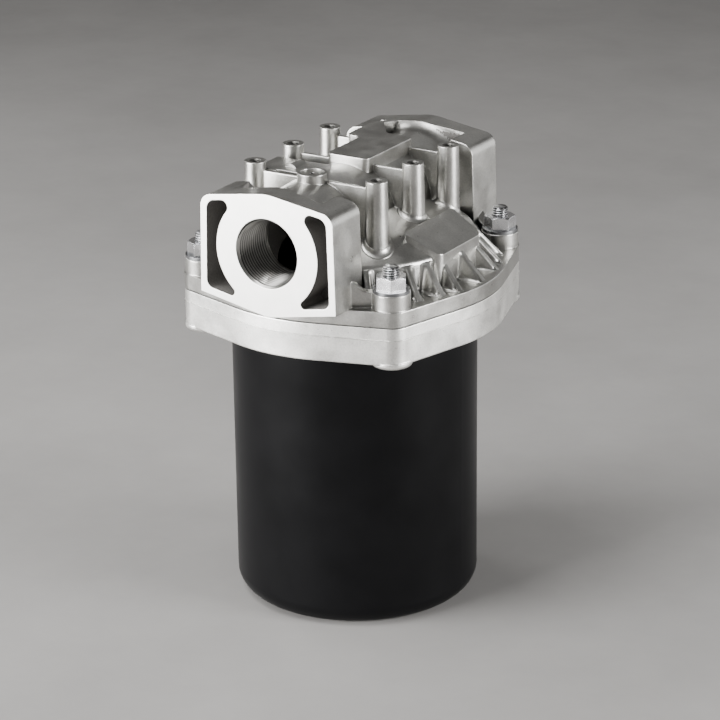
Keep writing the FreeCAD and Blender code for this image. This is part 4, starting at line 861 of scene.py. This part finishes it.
class FILTER_OT_studs(bpy.types.Operator):
    """Make the studs with their rolled threads"""

    bl_idname = "filter.studs"
    bl_label = "Studs"

    def execute(self, context):
        sizes = context.scene.filter_threads
        low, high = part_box("studs")
        radius, length_z = sizes.stud_major / 2, high.z - low.z
        along, turn = np.meshgrid(
            np.linspace(0, length_z, int(length_z / sizes.stud_pitch * sizes.rows)),
            np.linspace(0, 2 * np.pi, sizes.stud_columns, endpoint=False), indexing="ij",
        )
        top = np.clip((along - length_z + sizes.stud_thread) / sizes.stud_pitch, 0, 1)
        bottom = np.clip((sizes.stud_end - along) / sizes.stud_pitch, 0, 1)
        depth = THREAD_DEPTH * sizes.stud_pitch * np.maximum(top, bottom)
        profile = radius - depth * thread_wave(along, turn, sizes.stud_pitch)
        point = radius - depth.max() + np.minimum(along, length_z - along)
        tube = ring_grid(np.minimum(profile, point), low.z + along, turn)
        root = np.append((np.minimum(radius - profile, depth.max()) / depth.max()).ravel(), (0, 0))
        stud, faces = closed_tube(tube)
        places = [
            (x, y) for x in (low.x + radius, high.x - radius) for y in (low.y + radius, high.y - radius)
        ]
        zinc = context.scene.filter_plated.zinc
        # The stud's thread roots get a painted shade.
        finish = threaded("zinc_plated_thread", zinc, ROUGHNESS["stud_thread"], left=0.12)
        piece = add_piece("threaded_studs", *joined([(stud + (x, y, 0), faces) for x, y in places]), finish)
        hollow = piece.data.attributes.new("root", "FLOAT", "POINT")
        hollow.data.foreach_set("value", np.tile(root, len(places)))
        smooth_by_angle(piece.data, degrees=50)
        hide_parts("studs")
        return {"FINISHED"}


class FILTER_OT_valve_spring(bpy.types.Operator):
    """Copy the valve's spring as a mesh of its own, in oiled spring steel, on the housing"""

    bl_idname = "filter.valve_spring"
    bl_label = "Valve Spring"

    def execute(self, context):
        piece = merged_copy("bypass_spring", "valve_spring")
        steel = context.scene.filter_plated.steel
        finish = plated("oiled_spring_steel", steel, ROUGHNESS["spring"])
        piece.data.materials.append(finish)
        smooth_by_angle(piece.data, degrees=50)
        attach(piece, "housing")
        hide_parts("bypass_spring")
        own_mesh(piece)
        return {"FINISHED"}


class FILTER_OT_finishes(bpy.types.Operator):
    """Give every other node its real finish"""

    bl_idname = "filter.finishes"
    bl_label = "Finishes"

    def execute(self, context):
        cast, small = context.scene.filter_cast, context.scene.filter_plated
        # Pressed tinned steel: satin, with broad changes of gloss. Turned brass: glossy under its oil, with
        # its colour darkened as painted shade.
        tin = plated("tinned_sheet", small.tin, ROUGHNESS["tin"], lump_mm=20)
        brass = plated("turned_brass", small.brass, ROUGHNESS["brass"])
        # Moulded nitrile: matt, with a fine bloom. Resin-treated paper: matt, with its fibres showing.
        rubber = matt_stuff("nitrile_rubber", small.rubber, ROUGHNESS["rubber"], 0.8, 0.02)
        paper = matt_stuff("filter_paper", small.paper, ROUGHNESS["paper"], 0.7, 0.06)
        # The ring is cast and tumbled as the head is, and evener and paler.
        # Its corners get the same painted shade as the head's.
        ring = die_cast("satin_cast_ring", cast.ring, ROUGHNESS["ring"], cast.grain_height, darkest=0.98)
        # Clear zinc plating: bright and cool in tone on the nuts, and dulled by wear on the washers.
        finishes = {
            ring: ["clamp_ring"],
            black_enamel(): ["bowl"],
            plated("zinc_plated_steel", small.zinc, ROUGHNESS["zinc"]): ["nuts", "spring_plate"],
            plated("dull_zinc_washer", small.washer, ROUGHNESS["washer"]): ["washers"],
            tin: ["element_top_cap", "element_bottom_cap", "inner_tube", "bypass_cage"],
            bpy.data.materials["oiled_spring_steel"]: ["element_spring", "bypass_clip"],
            brass: ["bypass_seat", "bypass_poppet"],
            rubber: ["bowl_seal", "element_seal", "seat_gasket"],
            paper: ["filter_media"],
        }
        for material, names in finishes.items():
            for name in names:
                finish_node(name, material)
        return {"FINISHED"}


class FILTER_OT_stage(bpy.types.Operator):
    """Lay the floor, set the lights and place the camera"""

    bl_idname = "filter.stage"
    bl_label = "Stage"

    def execute(self, context):
        studio = context.scene.filter_studio
        lay_floor(studio)
        set_lights()
        place_camera(studio)
        return {"FINISHED"}


def lay_floor(studio):
    """A pale floor that curves up into a backdrop far behind the filter."""
    reach, bend, high = 3.5, 1.2, 3.0
    half_width = reach * 1.4
    turn = np.linspace(0, np.pi / 2, 17)
    away = np.concatenate([[-reach], reach - bend + bend * np.sin(turn), [reach]])
    rise = np.concatenate([[0], bend - bend * np.cos(turn), [high]])
    along = Vector((-math.sin(studio.azimuth), math.cos(studio.azimuth), 0))
    side = Vector((along.y, -along.x, 0))
    points = []
    for across in (-half_width, half_width):
        points += [tuple(along * a + side * across + Vector((0, 0, h))) for a, h in zip(away, rise)]
    count = len(away)
    faces = [[i, i + 1, count + i + 1, count + i] for i in range(count - 1)]
    mesh = bpy.data.meshes.new("studio_floor")
    mesh.from_pydata(points, [], faces)
    mesh.shade_smooth()
    backdrop = matt_stuff("paper_backdrop", studio.floor, ROUGHNESS["backdrop"], 400, 0)
    mesh.materials.append(backdrop)
    floor = bpy.data.objects.new("studio_floor", mesh)
    bpy.context.scene.collection.objects.link(floor)


def set_lights():
    """Soft boxes: bright at the front left and the right, dimmer above, at the side and behind; a dim sky."""
    boxes = {  # place, size and power in watts
        "left_softbox": ((-0.85, -1.3, 0.36), (1.1, 0.7), 76),
        "rear_softbox": ((0.75, 1.2, 0.36), (0.9, 0.7), 3.5),
        "right_softbox": ((1.5, 0.15, 0.42), (0.7, 0.8), 38),
        "top_softbox": ((-0.8, -0.75, 1.2), (0.6, 0.5), 6),
        "overhead_softbox": ((-0.25, -0.45, 1.5), (0.6, 0.6), 13),
        "back_softbox": ((-0.2, 1.25, 1.05), (0.9, 0.5), 0.35),
        "side_softbox": ((-1.2, 0.3, 1.1), (0.6, 0.5), 5),
    }
    aim = Vector(LIGHTS_AIM)
    for name, (place, size, power) in boxes.items():
        light = bpy.data.lights.new(name, "AREA")
        light.shape = "RECTANGLE"
        light.size, light.size_y = size
        light.energy = power
        lamp = bpy.data.objects.new(name, light)
        lamp.matrix_world = (
            Matrix.Translation(place) @ (aim - Vector(place)).to_track_quat("-Z", "Y").to_matrix().to_4x4()
        )
        bpy.context.scene.collection.objects.link(lamp)
    world = bpy.data.worlds.new("studio_sky")
    world.use_nodes = True
    sky = world.node_tree.nodes["Background"]
    sky.inputs["Color"].default_value = (*linear(SKY_COLOUR), 1)
    sky.inputs["Strength"].default_value = SKY_STRENGTH
    bpy.context.scene.world = world


def place_camera(studio):
    """The camera at the photograph's angle: back points from the target to the camera."""
    a, e, r = studio.azimuth, studio.elevation, studio.roll
    back = Vector((math.sin(a) * math.cos(e), -math.cos(a) * math.cos(e), math.sin(e)))
    level = Vector((math.cos(a), math.sin(a), 0))
    rise = back.cross(level)
    right = math.cos(r) * level - math.sin(r) * rise
    up = math.sin(r) * level + math.cos(r) * rise
    data = bpy.data.cameras.new("camera")
    data.lens = studio.lens
    data.sensor_width = SENSOR_WIDTH
    data.clip_end = CLIP_END
    camera = bpy.data.objects.new("camera", data)
    turn = Matrix((right, up, back)).transposed().to_4x4()
    camera.matrix_world = Matrix.Translation(Vector(studio.target) + back * studio.reach) @ turn
    bpy.context.scene.collection.objects.link(camera)
    bpy.context.scene.camera = camera


class FILTER_PT_sidebar(bpy.types.Panel):
    """The filter's pieces, finishes and studio"""

    bl_idname = "FILTER_PT_sidebar"
    bl_label = "Hydraulic Filter"
    bl_space_type = "VIEW_3D"
    bl_region_type = "UI"
    bl_category = "Filter"

    def draw(self, context):
        for operator in OPERATORS:
            self.layout.operator(operator.bl_idname)
        for name, group in GROUPS.items():
            box = self.layout.box()
            box.label(text=group.__doc__)
            for prop in group.__annotations__:
                box.prop(getattr(context.scene, name), prop)


OPERATORS = (
    FILTER_OT_head, FILTER_OT_ribs, FILTER_OT_studs, FILTER_OT_valve_spring, FILTER_OT_finishes,
    FILTER_OT_mould_line, FILTER_OT_stage,
)
CLASSES = (*GROUPS.values(), *OPERATORS, FILTER_PT_sidebar)


def register():
    for item in CLASSES:
        bpy.utils.register_class(item)
    for name, group in GROUPS.items():
        setattr(bpy.types.Scene, name, PointerProperty(type=group))


def unregister():
    for name in GROUPS:
        delattr(bpy.types.Scene, name)
    for item in reversed(CLASSES):
        bpy.utils.unregister_class(item)


def main():
    register()
    for operator in OPERATORS:
        group, name = operator.bl_idname.split(".")
        getattr(getattr(bpy.ops, group), name)()


if __name__ == "__main__":
    main()
